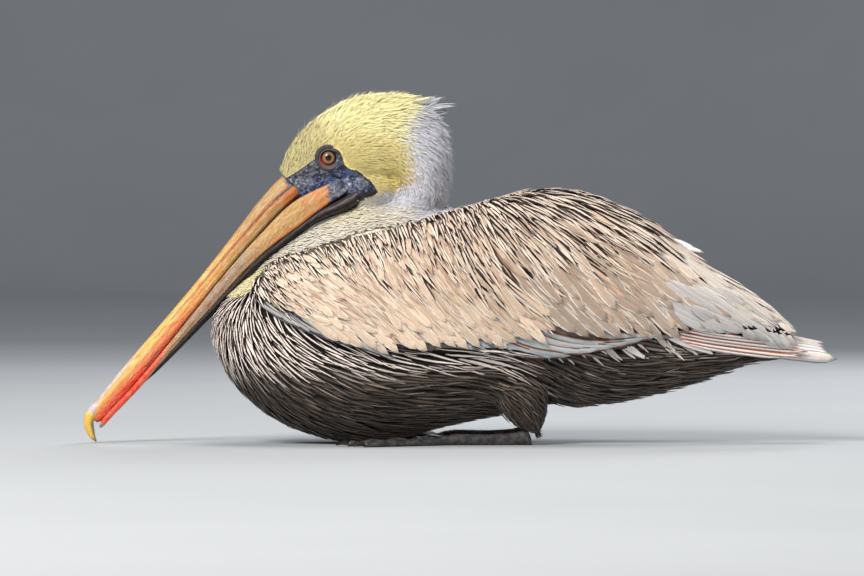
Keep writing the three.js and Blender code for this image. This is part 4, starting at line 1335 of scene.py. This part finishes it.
def tail_feathers():
    """A narrow drooping fan of pale stiff pointed feathers."""
    share = np.linspace(0, 1, 12)
    places = np.linspace(-1, 1, 13)
    spines, normals = [], []
    for place in places[np.argsort(-np.abs(places))]:
        notch = 24 * abs(place) * (1 - abs(place))
        x = 252 + (355 + 6 * abs(place) - notch + rng.uniform(-2, 0) - 252) * share
        y = place * (10 + 24 * share)
        high = np.interp(x, [266, 361], [TAIL_TOP[0], TAIL_TOP[1]])
        low = np.interp(x, [266, 361], [TAIL_EDGE[0], TAIL_EDGE[1]])
        z = high + (low - high) * abs(place) ** 1.4
        spines.append(np.column_stack([x, y, z]))
        normals.append(np.tile([0.15, place * (0.9 + 1.6 * abs(place)), 1.0], (len(share), 1)))
    count = len(spines)
    tones = even_tones(count, srgb(204, 194, 190), srgb(246, 238, 232), 0.6)
    obj = feathers("tail_fan", np.array(spines), unit(np.array(normals)), np.full(count, 6.2), tones, LARGE,
                   POINTED, 0.5)
    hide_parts("tail")


def fluff():
    """Single thin barbs that stand out of the crown, the forehead and the nape."""
    c = coat.centres
    loose = looseness(c)
    wanted = is_neck(c) & ~is_bare(c) & (loose > 0.12)
    roots, normals = coat.scatter(wanted, 2.8 - 1.2 * loose)
    count = len(roots)
    loose = looseness(roots)
    length = rng.uniform(6.5, 12.0, count) * (0.5 + 0.5 * loose)
    rise = np.radians(rng.uniform(14, 42, count) * (0.4 + 0.6 * loose))[:, None]
    lie = unit(head_lie(roots, normals) + rng.normal(0, 0.12, (count, 3)))
    share = np.linspace(0, 1, 5)[None, :, None]
    heading = lie * np.cos(rise) + normals * np.sin(rise)
    spine = roots[:, None] - normals[:, None] * 2.5 + heading[:, None] * (share * length[:, None, None] * 1.2)
    spine += (lie - normals * 0.5)[:, None] * share**2 * (length * 0.15)[:, None, None]
    normal = np.repeat(normals[:, None], 5, 1)
    colour = head_colour(roots)
    tones = (colour, colour, np.full(count, 0.6))
    width = rng.uniform(0.28, 0.45, count)
    feathers("head_fluff", spine, normal, width, tones, PLUSH, thick=0.12, camber=0.1,
             soft=0.95)


CREST = [  # where a lock of plumes starts and ends, in pixels, and how many plumes it has
    ((392, 104), (402, 93.5), 10), ((397, 104), (409.5, 94), 12), ((402, 105), (416, 95.5), 9),
    ((406, 107), (424, 96), 15), ((411, 108), (431, 98.5), 13), ((416, 109), (438, 96), 16),
    ((420, 111), (444.5, 97.5), 19), ((425, 114), (457.5, 105.5), 26), ((428, 117), (449, 111), 14),
    ((431, 120), (443, 117.5), 10), ((434, 126), (450, 127), 15), ((436, 134), (448.5, 136), 12),
    ((436, 141), (447, 142.5), 9), ((436, 150), (451.5, 151.5), 13), ((436, 158), (449, 159.5), 10),
    ((436, 167), (449.5, 169), 11), ((436, 176), (448.5, 178), 12), ((436, 184), (448, 186), 11),
    ((436, 192), (446, 194), 10), ((435, 200), (445, 202.5), 10),
]
CROWN_LINE = curve([(281, 168), (290, 151), (300, 139), (312, 128), (325, 118), (340, 110), (356, 103),
                    (372, 99), (392, 97.5)])


def crown_locks():
    """Short locks that lean back all along the forehead and crown: start, end, plumes and place across."""
    locks = []
    for across in np.arange(288, 390, 2.6):
        start = np.array([across, CROWN_LINE(across) + 2.5])
        ahead = unit(np.array([2.0, CROWN_LINE(across + 1) - CROWN_LINE(across - 1)]))
        out = np.array([ahead[1], -ahead[0]])
        size = 0.5 + 0.5 * step(296, 330, across)
        end = start + size * (ahead * rng.uniform(6, 10) + out * rng.uniform(5.5, 9.0))
        locks.append((start, end, 7, rng.uniform(-4, 4)))
    return locks


def crest_feathers():
    """Thin soft plumes on the crown, at its back and on the nape, in locks that end in a point."""
    share = np.linspace(0, 1, 7)[None]
    spines, roots = [], []
    for start, end, count, place in [(*lock, 0.0) for lock in CREST] + crown_locks():
        a, b = seen(*start), seen(*end)
        wide = 2.9 if count > 7 and start[1] < 124 else 1.3
        spread = rng.normal(0, 1, (count, 2)) * (0.75 * wide, 0.9 * wide)
        root = np.column_stack([a[0] + spread[:, 0], place + rng.normal(0, wide, count), a[1] + spread[:, 1]])
        on_coat, _ = coat.nearest(root)
        reach = rng.uniform(0.6, 1.0, count)[:, None]
        tip = np.column_stack([np.full(count, b[0]), place + rng.normal(0, 1.0, count), np.full(count, b[1])])
        tip = on_coat + (tip + rng.normal(0, 0.9, (count, 3)) - on_coat) * reach
        away = unit(tip - on_coat)
        middle = (on_coat + tip) / 2 + np.array([0, 0, 1.0]) * 1.6 - away * 0.5
        t = share[..., None]
        inside = on_coat - away * 2.0
        bent = (1 - t) ** 2 * inside[:, None] + 2 * t * (1 - t) * middle[:, None]
        spines.append(bent + t**2 * tip[:, None])
        roots.append(on_coat)
    spine, root = np.concatenate(spines), np.concatenate(roots)
    _, facing = coat.nearest(root)
    lean = rng.normal(0, 0.3, len(root))
    outward = np.column_stack([lean, 0.6 * np.sign(root[:, 1]), np.full(len(root), 0.1)])
    normal = np.repeat(unit(facing + outward)[:, None], share.shape[1], 1)
    colour = head_colour(root)
    tones = (colour, colour * 0.94, np.full(len(root), 0.6))
    width = rng.uniform(0.3, 0.6, len(root))
    obj = feathers("crest_plumes", spine, normal, width, tones, PLUSH, soft=0.85)
    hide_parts("crest")


# ---------------------------------------------------------------- bill and pouch
# The bill is described by how far along it and how far below its axis a place is.
BILL_BASE = np.array([-161.3, 0.0, 245.8])
BILL_ALONG = np.array([-0.656, 0.0, -0.755])
BILL_BELOW = np.array([0.755, 0.0, -0.656])

UPPER_BILL = [  # along, culmen, cutting edge, half-width
    (-2, -14, 12.5, 14.5), (14, -15, 11, 14), (29, -15, 9.4, 12.8), (58, -13.3, 8.4, 11),
    (96, -11, 7.4, 9.6), (144, -9.2, 8.8, 8.8), (192, -8.8, 10.4, 9.2), (240, -8.8, 11.4, 10),
    (262, -8, 10.8, 9.8), (275, -7.2, 10.2, 8.8), (284, -6, 9.8, 7.2), (290, -3, 8.8, 5.2),
    (293.5, 2, 7, 2.6),
]
LOWER_BILL = [  # along, cutting edge, lower edge, half-width
    (-44, 31, 45, 24.5), (-24, 24, 41.5, 24), (-8, 16.8, 36.5, 22.5), (8, 11.2, 32.8, 20.5),
    (24, 8.4, 29.8, 18.5), (48, 7.2, 24.2, 16), (72, 6.2, 20.2, 14), (96, 6, 18.4, 12.6),
    (144, 7.6, 17.6, 10.8), (192, 9.4, 16.2, 9.8), (240, 10.2, 16.2, 9.4), (270, 9, 14.8, 8.2),
    (284, 8.6, 14.2, 6.4), (291, 9.4, 14.2, 4.6), (295, 11, 13.2, 2.4),
]
POUCH = [  # along, upper edge, lower edge, half-width
    (-50, 48, 60, 19), (-37, 46, 61.5, 22.5), (-20, 41.5, 56.5, 23), (-2, 35, 46.5, 21),
    (17, 31.6, 38.5, 18.5), (47, 24.8, 33.6, 15.5), (75, 20.2, 28.2, 13.2), (98, 18.8, 25.8, 11.8),
    (125, 18.4, 24.4, 10.6),
    (149, 17.9, 23, 9.8), (192, 16.8, 20.4, 8.6), (230, 15.6, 17.6, 7.4), (250, 14.9, 15.9, 6),
]
NAIL_LINE = [  # along, below, half-depth, half-width
    (276, -2.6, 3.2, 5.4), (284, -3.6, 4.6, 7.2), (292, -2.6, 5.2, 7.2), (299, 1, 4.9, 6.2),
    (303.2, 6.6, 4.2, 4.8), (306.4, 12.6, 2.7, 2.9), (307.6, 18.2, 0.7, 0.7),
]
RAMUS_THICK = 6.5


def columns(table, stations):
    return [curve([(row[0], row[k]) for row in table])(stations) for k in range(1, len(table[0]))]


def on_bill(along, y, below):
    middle = BILL_BASE + along[..., None] * BILL_ALONG + below[..., None] * BILL_BELOW
    return middle + y[..., None] * np.array([0, 1, 0])


def squared(angle, power):
    """Cosine and sine of an oval with fuller corners."""
    c, s = np.cos(angle), np.sin(angle)
    return np.sign(c) * np.abs(c) ** (2 / power), np.sign(s) * np.abs(s) ** (2 / power)


def horn_grain(obj, along, y, below):
    set_vector(obj, "grain", np.column_stack([along * 0.035, y * 0.16, below * 0.22]))


def with_ends(values):
    """Per-ring-point values of one loft, with the two middle points of its ends added."""
    return np.concatenate([values.reshape(-1), [values[0].mean(), values[-1].mean()]])


PLATE_HORN = srgb(192, 166, 116)
CREAM_HORN = srgb(204, 168, 108)
YELLOW_HORN = srgb(244, 206, 116)
ORANGE_HORN = srgb(226, 124, 34)
RED_HORN = srgb(244, 54, 2)
MAUVE_HORN = srgb(160, 140, 128)
SALMON_HORN = srgb(240, 136, 76)
# The edge's own dark red, and painted shade in the join of the two halves of the bill.
COMMISSURE = srgb(96, 30, 12)
NOSTRIL = srgb(46, 58, 96)
SPOT_HORN = srgb(110, 92, 88)
GREY_SPOTS = ((206, 0.58), (218, 0.66))  # along the bill, and level on its side
GROOVE_LEVEL = curve([(-2, 0.02), (30, -0.08), (80, -0.22), (150, -0.38), (230, -0.52), (274, -0.55)])


def upper_bill_colours(a, g, s):
    """Colours by place along the bill, distance from its groove and level on its side."""
    plate = blend(PLATE_HORN, YELLOW_HORN, step(40, 140, a))
    plate = blend(plate, srgb(224, 218, 230), step(205, 246, a) * step(-0.60, -0.82, s))
    side = blend(CREAM_HORN, YELLOW_HORN, step(60, 150, a))
    side = blend(side, SALMON_HORN, step(100, 190, a) * step(-0.35, 0.15, s))
    side = blend(side, ORANGE_HORN, step(220, 262, a) * step(-0.6, -0.2, s) * 0.7)
    side = blend(side, RED_HORN, step(105, 150, a) * step(0.45, 0.85, s + 0.45 * step(150, 285, a)))
    side = blend(side, ORANGE_HORN, step(30, 6, a) * 0.9)
    colour = blend(side, plate, step(0.04, -0.10, g))
    beside = hump(np.abs(g) - 0.17, 0.07) * step(170, 110, a) * step(-2, 6, a)
    colour = blend(colour, ORANGE_HORN, beside * 0.6)
    colour = blend(colour, ORANGE_HORN, step(-0.86, -0.97, s) * step(170, 110, a) * 0.5)
    line = hump(g, 0.09)
    colour = blend(colour, srgb(120, 108, 96), line * step(120, 60, a) * 0.8)
    colour = blend(colour, srgb(150, 74, 26), line * step(200, 130, a) * 0.85)
    colour = blend(colour, NOSTRIL, line * step(28, 16, a))
    # the dark red join with the lower bill: its own colour, and painted shade
    colour = blend(colour, COMMISSURE, step(0.72, 0.92, s) * 0.9)
    for spot_along, spot_level in GREY_SPOTS:
        away = -(((a - spot_along) / 4.5) ** 2) - ((s - spot_level) / 0.16) ** 2
        colour = blend(colour, SPOT_HORN, np.exp(away) * 0.85)
    return colour


def upper_bill():
    """The long upper half, with a ridge plate set off by a groove on each side."""
    stations = np.concatenate([np.arange(-2, 270, 2.0), np.linspace(270, 293.5, 16)])
    top, cut, half = columns(UPPER_BILL, stations)
    angle = np.linspace(0, 2 * np.pi, 80, endpoint=False)
    across, down = squared(angle, 2.3)
    middle, depth = (top + cut) / 2, (cut - top) / 2
    level = np.broadcast_to(down[None], (len(stations), len(angle)))
    from_groove = level - GROOVE_LEVEL(stations)[:, None]
    side_on = np.abs(across)[None] > 0.3
    groove = 0.11 * hump(from_groove, 0.11) * side_on
    second = 0.04 * hump(from_groove - 0.55, 0.10) * side_on
    fade = 0.35 + 0.65 * step(-2, 12, stations)[:, None]
    size = 1 - (groove + second) * fade
    y = half[:, None] * across[None] * size
    below = middle[:, None] + depth[:, None] * down[None]
    along = np.broadcast_to(stations[:, None], y.shape)
    obj = loft("upper_bill", [on_bill(along, y, below)], HORN)
    a, g, s = with_ends(along), with_ends(from_groove), with_ends(level)
    horn = step(-3, 1.5, a + 2 * np.sin(s * 5))
    set_colour(obj, "tint", np.column_stack([upper_bill_colours(a, g, s), horn]))
    horn_grain(obj, a, with_ends(y), with_ends(below))
    bake_uv(obj)
    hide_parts("bill_upper")


def lower_bill_colours(a, d):
    """Colours by place along the bill and level on its side."""
    colour = blend(srgb(206, 172, 110), ORANGE_HORN, step(0.4, 0.95, d) * 0.7)
    colour = blend(colour, ORANGE_HORN, step(10, -18, a) * 0.6)
    colour = blend(colour, MAUVE_HORN, step(45, 100, a) * step(0.97, 0.7, d) * 0.9)
    # the dark red join with the upper bill: its own colour, and painted shade
    colour = blend(colour, COMMISSURE, step(-0.86, -1.0, d) * 0.7)
    colour = blend(colour, srgb(168, 148, 108), step(150, 200, a) * 0.8)
    colour = blend(colour, RED_HORN, step(175, 225, a) * step(0.5, 0.0, d - 1.4 * step(200, 262, a)))
    colour = blend(colour, srgb(150, 156, 170), step(289, 293, a))
    return colour


def lower_bill():
    """The two thin halves of the lower bill, which end in the bare skin of the gape."""
    stations = np.concatenate([np.arange(-44, 270, 2.0), np.linspace(270, 295, 14)])
    cut, low, half = columns(LOWER_BILL, stations)
    sink = 6.0 * step(-28, -44, stations)
    angle = np.linspace(0, 2 * np.pi, 48, endpoint=False)
    across, down = squared(angle, 2.6)
    thick = np.minimum(RAMUS_THICK, half)
    parts, grains = [], []
    for _, side in SIDES:
        centre = side * (half - thick / 2 - sink)
        ridge = 1 + 0.10 * np.cos(6 * down)
        y = centre[:, None] + thick[:, None] / 2 * across[None] * ridge
        below = ((cut + low) / 2)[:, None] + ((low - cut) / 2)[:, None] * down[None]
        along = np.broadcast_to(stations[:, None], y.shape)
        parts.append(on_bill(along, y, below))
        level = np.broadcast_to(down, y.shape)
        grains.append([with_ends(values) for values in (along, y, below, level)])
    obj = loft("lower_bill", parts, HORN)
    a, y, b, d = [np.concatenate(values) for values in zip(*grains)]
    edge = -18 + 6 * d + 1.2 * np.sin(d * 9)
    horn = step(edge - 2.0, edge + 2.0, a)
    set_colour(obj, "tint", np.column_stack([lower_bill_colours(a, d), horn]))
    horn_grain(obj, a, y, b)
    bake_uv(obj)
    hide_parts("bill_lower")


def pouch_material():
    """Mottled charcoal skin with the tint of its vertices."""
    material, tree, shader = new_material("pouch_skin")
    grain = add(tree, "Attribute", attribute_name="grain").outputs["Vector"]
    cloud = noise(tree, grain, 3.0, 5.0)
    colour = mixed(tree, smooth(tree, cloud, 0.35, 0.7), colour4(srgb(20, 18, 19)), colour4(srgb(64, 58, 58)))
    tint = add(tree, "Attribute", attribute_name="tint").outputs["Color"]
    tree.links.new(multiplied(tree, 1.0, colour, tint), shader.inputs["Base Color"])
    shader.inputs["Roughness"].default_value = 0.5
    bumped(tree, shader, cloud, 0.8)
    return material


def pouch():
    """Dark folded skin slung between the two halves of the lower bill."""
    stations = np.arange(-50, 251, 2.0)
    high, low, half = columns(POUCH, stations)
    high = high - 2.5
    angle = np.linspace(0, 2 * np.pi, 96, endpoint=False)
    across, down = squared(angle, 2.2)
    under = step(-0.3, 0.4, down)
    folds = np.cos(angle * 21 + 0.6 * np.sin(stations * 0.05)[:, None]) * 0.05 * under[None]
    folds = folds * step(-48, -20, stations)[:, None]
    ridge = 0.10 * hump(down + 0.05, 0.22) - 0.10 * hump(down - 0.42, 0.12)
    size = 1 + folds + ridge[None] * step(-50, -30, stations)[:, None]
    ends = ((step(-50.5, -42, stations) * 0.4 + 0.6) * (0.1 + 0.9 * step(252, 215, stations)))[:, None]
    y = half[:, None] * across[None] * size * ends
    below = ((high + low) / 2)[:, None] + ((low - high) / 2)[:, None] * down[None] * size * ends
    along = np.broadcast_to(stations[:, None], y.shape)
    obj = loft("pouch", [on_bill(along, y, below)], pouch_material())
    a, d = with_ends(along), with_ends(np.broadcast_to(down, y.shape))
    base = step(60, 10, a)
    # painted highlight: lighter along the ridge near the base
    tint = blend(np.ones((len(a), 3)), np.array([3.4, 3.4, 3.6]), hump(d + 0.15, 0.2) * base)
    tint = blend(tint, np.array([3.0, 2.6, 2.0]), step(0.5, 0.66, d) * step(30, 5, a) * step(-52, -40, a))
    set_colour(obj, "tint", np.column_stack([tint, np.ones(len(a))]))
    horn_grain(obj, with_ends(along), with_ends(y), with_ends(below))
    bake_uv(obj)
    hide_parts("pouch")


def nail():
    """The hooked nail at the tip of the upper bill."""
    stations = np.linspace(0, 1, 40)
    line = np.array(NAIL_LINE)
    reach = np.concatenate([[0], np.cumsum(np.hypot(np.diff(line[:, 0]), np.diff(line[:, 1])))])
    reach = reach / reach[-1]
    along, below, deep, wide = [curve(list(zip(reach, line[:, k])))(stations) for k in range(4)]
    heading = unit(np.gradient(np.column_stack([along, below]), axis=0))
    angle = np.linspace(0, 2 * np.pi, 40, endpoint=False)
    across, out = squared(angle, 2.1)
    y = wide[:, None] * across[None]
    a = along[:, None] - heading[:, 1:] * deep[:, None] * out[None]
    b = below[:, None] + heading[:, :1] * deep[:, None] * out[None]
    obj = loft("nail", [on_bill(a, y, b)], NAIL)
    share = with_ends(np.broadcast_to(stations[:, None], y.shape))
    colour = blend(np.tile(srgb(216, 210, 214), (len(share), 1)), srgb(244, 206, 84), step(0.26, 0.40, share))
    colour = blend(colour, srgb(150, 112, 92), step(0.86, 0.97, share))
    inner = with_ends(np.broadcast_to(out, y.shape))
    colour = blend(colour, srgb(96, 102, 122), step(0.4, 0.6, share) * step(0.2, 0.7, inner) * 0.8)
    set_colour(obj, "tint", np.column_stack([colour, np.ones(len(share))]))
    horn_grain(obj, with_ends(a), with_ends(y), with_ends(b))
    bake_uv(obj)
    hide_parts("bill_nail")


# ---------------------------------------------------------------- eyes
EYE_RADIUS = 8.5
PUPIL = 3.0
IRIS = 6.2


def eye(side_name, side):
    """A glossy ball with a pupil, a tan iris and a dark rim."""
    polar = np.concatenate([np.linspace(0.5, 60, 60), np.linspace(63, 179.5, 24)])
    polar = np.radians(polar)
    turn = np.linspace(0, 2 * np.pi, 64, endpoint=False)
    out = EYE_RADIUS * np.sin(polar)[:, None]
    x = EYE[0] + out * np.cos(turn)
    z = EYE[2] + out * np.sin(turn)
    y = side * (EYE[1] + EYE_RADIUS * np.cos(polar)[:, None] + 0 * turn)
    obj = loft("eyeball_" + side_name, [np.stack([x, y, z], -1)], EYE_GLOSS)
    spread = with_ends(np.broadcast_to(out, x.shape))
    lower_front = with_ends((-np.cos(turn) - 0.7 * np.sin(turn))[None] * np.ones((len(polar), 1)))
    upper = with_ends(np.clip(np.sin(turn), 0, 1)[None] * np.ones((len(polar), 1)))
    # painted shade: the iris is darker at its top, under the lid
    tan = blend(np.tile(srgb(150, 102, 66), (len(spread), 1)), srgb(116, 94, 76), upper)
    colour = blend(np.tile(srgb(6, 4, 4), (len(spread), 1)), tan, step(PUPIL - 0.25, PUPIL + 0.25, spread))
    colour = blend(colour, srgb(96, 60, 40), step(IRIS - 1.3, IRIS - 0.3, spread) * 0.8)
    colour = blend(colour, srgb(22, 16, 16), step(IRIS - 0.35, IRIS + 0.1, spread))
    red = step(IRIS + 0.2, IRIS + 0.7, spread) * step(0.8, 1.15, lower_front)
    colour = blend(colour, srgb(214, 70, 44), red)
    set_colour(obj, "tint", np.column_stack([colour, np.ones(len(spread))]))
    bake_uv(obj)
    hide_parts("eye_" + side_name)


LID_PROFILE = np.array([  # out from the middle of the eye, out from the middle of the head
    (6.9, 21.6), (6.8, 22.8), (7.0, 23.9), (7.6, 24.6), (8.3, 24.8), (8.8, 24.5), (9.4, 25.3), (10.3, 25.8),
    (11.4, 25.6), (12.6, 24.6), (13.4, 22.5), (11.0, 19.5), (8.9, 20.0),
])


def lids(side_name, side):
    """The ring of bare skin that holds the eye, with a soft thick edge and a red front corner."""
    turn = np.linspace(0, 2 * np.pi, 96, endpoint=False)
    reach = LID_PROFILE[:, 0][None] * np.ones((len(turn), 1))
    inner = step(9.8, 6.8, reach)
    corner = np.clip(-np.cos(turn) * 0.82 - np.sin(turn) * 0.57, 0, 1)[:, None]
    back = np.clip(np.cos(turn) * 0.95 + np.sin(turn) * 0.3, 0, 1)[:, None]
    almond = 1 + inner * (0.20 * corner**8 + 0.08 * back**8)
    x = EYE[0] + reach * almond * np.cos(turn)[:, None]
    z = EYE[2] + reach * almond * np.sin(turn)[:, None] * (1 - 0.04 * inner)
    wrinkle = 0.15 * np.sin(turn * 9)[:, None] * step(8.5, 10, reach)
    y = side * (LID_PROFILE[:, 1][None] + wrinkle)
    places = np.stack([x, y, z], -1)
    count, around = places.shape[:2]
    r, i = np.meshgrid(np.arange(count), np.arange(around), indexing="ij")
    a = r * around + i
    b = r * around + (i + 1) % around
    c = ((r + 1) % count) * around + (i + 1) % around
    d = ((r + 1) % count) * around + i
    quads = np.stack([a, b, c, d], -1).reshape(-1, 4)
    mesh = mesh_of("lids", places.reshape(-1, 3), quads.ravel(), np.full(len(quads), 4))
    obj = piece("lids_" + side_name, mesh, SKIN)
    near = reach.ravel()
    low = np.repeat(np.clip(-np.sin(turn), 0, 1), around)
    # painted shade: black in the gap where the lid meets the eyeball
    colour = blend(srgb(16, 12, 12), srgb(112, 104, 108), step(7.4, 8.3, near))
    colour = blend(colour, srgb(58, 52, 56), step(8.6, 9.2, near))
    colour = blend(colour, srgb(84, 80, 88), step(9.3, 10.0, near) * step(11.2, 10.4, near))
    colour = blend(colour, srgb(138, 106, 108), step(7.8, 8.6, near) * low**3 * step(10.6, 9.0, near))
    red = np.repeat(corner.ravel() ** 10, around) * step(8.2, 7.4, near)
    colour = blend(colour, srgb(226, 84, 48), red)
    # painted shade in the fold of the lid
    tone = 1 - 0.7 * hump(near - 8.9, 0.5)
    slate_share = step(10.4, 12.2, near)
    tint = blend(colour, np.full(3, 0.9), step(12.2, 13.4, near)) * tone[:, None]
    set_colour(obj, "tint", np.column_stack([tint, slate_share]))
    bake_uv(obj)


# ---------------------------------------------------------------- legs
FOOT = np.array([-12.0, 54.0])  # where the toes meet, along the bird and out from its middle
HOCK = np.array([66.0, 47.0])
TARSUS = [  # share from the foot to the hock, half-width, half-height
    (0, 5.4, 5.0), (0.1, 4.4, 5.2), (0.45, 3.8, 5.0), (0.75, 4.4, 5.6), (0.92, 6.0, 6.8), (1, 5.0, 5.6),
]
TOES = (  # name, length, degrees outwards from straight ahead, radius at the root and tip, joints
    ("hind", 42, -40, 4.2, 2.8, 2), ("inner", 76, -1, 4.8, 3.0, 3), ("middle", 98, 15, 5.2, 3.2, 4),
    ("outer", 92, 31, 4.8, 3.0, 5),
)
SCUTE = 2.4  # length of one of the plates along the toes


def tube(line, wide, high):
    """Rings round a line on the floor, with the underside flattened and plates across the top."""
    turn = np.linspace(0, 2 * np.pi, 28, endpoint=False)
    ahead = unit(np.gradient(line, axis=0))
    aside = np.column_stack([-ahead[:, 1], ahead[:, 0]])
    run = np.concatenate([[0], np.cumsum(np.linalg.norm(np.diff(line, axis=0), axis=1))])
    plate = 0.28 * np.abs(np.sin(np.pi * run / SCUTE))[:, None] * np.clip(np.sin(turn), 0, 1)[None]
    flat = line[:, None] + aside[:, None] * (wide[:, None] * np.cos(turn)[None])[..., None]
    z = np.maximum((high + 0.2)[:, None] + high[:, None] * np.sin(turn)[None] + plate, 0.3)
    return np.concatenate([flat, z[..., None]], -1)


def toe_line(side, length, degrees, share):
    heading = np.array([-math.cos(math.radians(degrees)), math.sin(math.radians(degrees))])
    return (FOOT + length * share[:, None] * heading) * (1, side)


def toe_tube(side, length, degrees, root, tip, joints):
    """A toe with a knuckle at each joint."""
    share = np.linspace(-0.04, 1, int(length / 0.6))
    radius = root + (tip - root) * np.clip(share, 0, 1)
    knuckle = 1 + 0.16 * np.cos(2 * np.pi * joints * np.clip(share, 0, 1)) * step(1, 0.9, share)
    end = np.sqrt(np.clip(1 - np.clip((share - 0.97) / 0.035, 0, 1) ** 2, 0.1, 1))
    size = radius * knuckle * end
    return tube(toe_line(side, length, degrees, share), size * 0.82, size * 0.78)


def web_sheet(side, first, second):
    """A thin web between two toes, with a hollow front edge and folds that spread from the root."""
    rings = []
    for u in np.linspace(0, 1, 25):
        reach = np.linspace(0.08, 0.95 - 0.16 * math.sin(math.pi * u), 40)
        flat = toe_line(side, *first, reach) * (1 - u) + toe_line(side, *second, reach) * u
        fold = 0.45 * math.sin(u * 5 * math.pi) * step(0.1, 0.5, reach)
        sag = 2.4 - 0.9 * math.sin(math.pi * u) + fold
        top = np.column_stack([flat, sag])
        under = np.column_stack([flat, np.maximum(sag - 1.1, 0.2)])[::-1]
        rings.append(np.concatenate([top, under]))
    return np.array(rings)


def legs():
    """Plated shanks that lie on the floor, knuckled toes and the webs that join all four."""
    share = np.linspace(0, 1, 130)
    wide, high = columns(TARSUS, share)
    end = np.sqrt(np.clip(1 - np.clip((share - 0.95) / 0.052, 0, 1) ** 2, 0.05, 1))
    for side_name, side in SIDES:
        shank = (FOOT + (HOCK - FOOT) * share[:, None] + (2.0, 0.0)) * (1, side)
        parts = [tube(shank, wide * end, high * end)]
        parts += [toe_tube(side, *toe[1:]) for toe in TOES]
        parts += [web_sheet(side, a[1:3], b[1:3]) for a, b in zip(TOES[:-1], TOES[1:])]
        obj = loft("leg_" + side_name, parts, LEG)
        bake_uv(obj)
        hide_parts("tarsus_" + side_name, "foot_" + side_name)
        for toe in TOES:
            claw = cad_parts[f"claw_{side_name}_{toe[0]}"]
            for place in claw.material_slots:
                place.material = CLAW


# ---------------------------------------------------------------- stage
def sweep_floor():
    """A pale floor that turns up into a backdrop."""
    bend = np.radians(np.linspace(0, 90, 24))
    radius, back, front, high = 2500, 7500, -9000, 9000
    y = np.concatenate([[front], back + radius * np.sin(bend), [back + radius]])
    z = np.concatenate([[0], radius - radius * np.cos(bend), [high]])
    places = np.array([(x, a, b) for x in (-12000, 12000) for a, b in zip(y, z)])
    n = len(y)
    quads = np.array([(k, k + n, k + n + 1, k + 1) for k in range(n - 1)])
    mesh = mesh_of("floor", places, quads.ravel(), np.full(n - 1, 4))
    mesh.shade_smooth()
    material, tree, shader = new_material("floor")
    place = add(tree, "TexCoord").outputs["Object"]
    cloud = noise(tree, place, 1.2)
    colour = mixed(tree, cloud, colour4(srgb(164, 168, 172)), colour4(srgb(178, 182, 186)))
    tree.links.new(colour, shader.inputs["Base Color"])
    shader.inputs["Roughness"].default_value = 0.9
    mesh.materials.append(material)
    floor = bpy.data.objects.new("floor", mesh)
    bpy.context.scene.collection.objects.link(floor)


def lamp(name, place, aim, size, power, colour):
    data = bpy.data.lights.new(name, "AREA")
    data.shape = "DISK"
    data.size = size
    data.energy = power
    data.color = colour
    obj = bpy.data.objects.new(name, data)
    obj.location = place
    obj.rotation_euler = (Vector(aim) - Vector(place)).to_track_quat("-Z", "Y").to_euler()
    bpy.context.scene.collection.objects.link(obj)
    return obj


def studio():
    """A large warm key from the upper front, a weak fill, a light from behind and a pale sky."""
    middle = (0.0, 0.0, 0.16)
    lamp("key", (-1.5, -2.3, 2.2), middle, 1.5, 122, (1.0, 0.955, 0.89))
    lamp("top", (0.3, 0.2, 2.6), middle, 1.4, 30, (1.0, 0.98, 0.95))
    lamp("rim", (0.9, 2.2, 1.6), middle, 1.2, 30, (1.0, 1.0, 1.0))
    fill = lamp("fill", (2.6, -3.0, 0.9), middle, 2.4, 30, (1.0, 0.98, 0.96))
    fill.visible_glossy = False
    world = bpy.data.worlds.new("studio")
    world.use_nodes = True
    sky = world.node_tree.nodes["Background"]
    sky.inputs["Color"].default_value = (0.92, 0.95, 1.0, 1)
    sky.inputs["Strength"].default_value = 0.38
    bpy.context.scene.world = world
    bpy.context.scene.view_settings.view_transform = "Standard"


def camera():
    """A long lens level with the bird's middle, framed as the photo is."""
    data = bpy.data.cameras.new("camera")
    data.lens = 250
    data.sensor_width = 36
    data.clip_end = 60
    width = PHOTO_SIZE[0] * PIXEL * MM
    distance = width * data.lens / data.sensor_width
    x, z = seen(PHOTO_SIZE[0] / 2, PHOTO_SIZE[1] / 2) * MM
    lift = math.radians(1.0)
    obj = bpy.data.objects.new("camera", data)
    obj.location = (x, -distance * math.cos(lift), z + distance * math.sin(lift))
    obj.rotation_euler = (math.radians(90) - lift, 0, 0)
    bpy.context.scene.collection.objects.link(obj)
    bpy.context.scene.camera = obj


skin()
head_plumage()
body_plumage()
wisps()
long_feathers()
far_tertials()
primaries()
tail_feathers()
crest_feathers()
fluff()
upper_bill()
lower_bill()
pouch()
nail()
for side in SIDES:
    eye(*side)
    lids(*side)
legs()
sweep_floor()
studio()
camera()
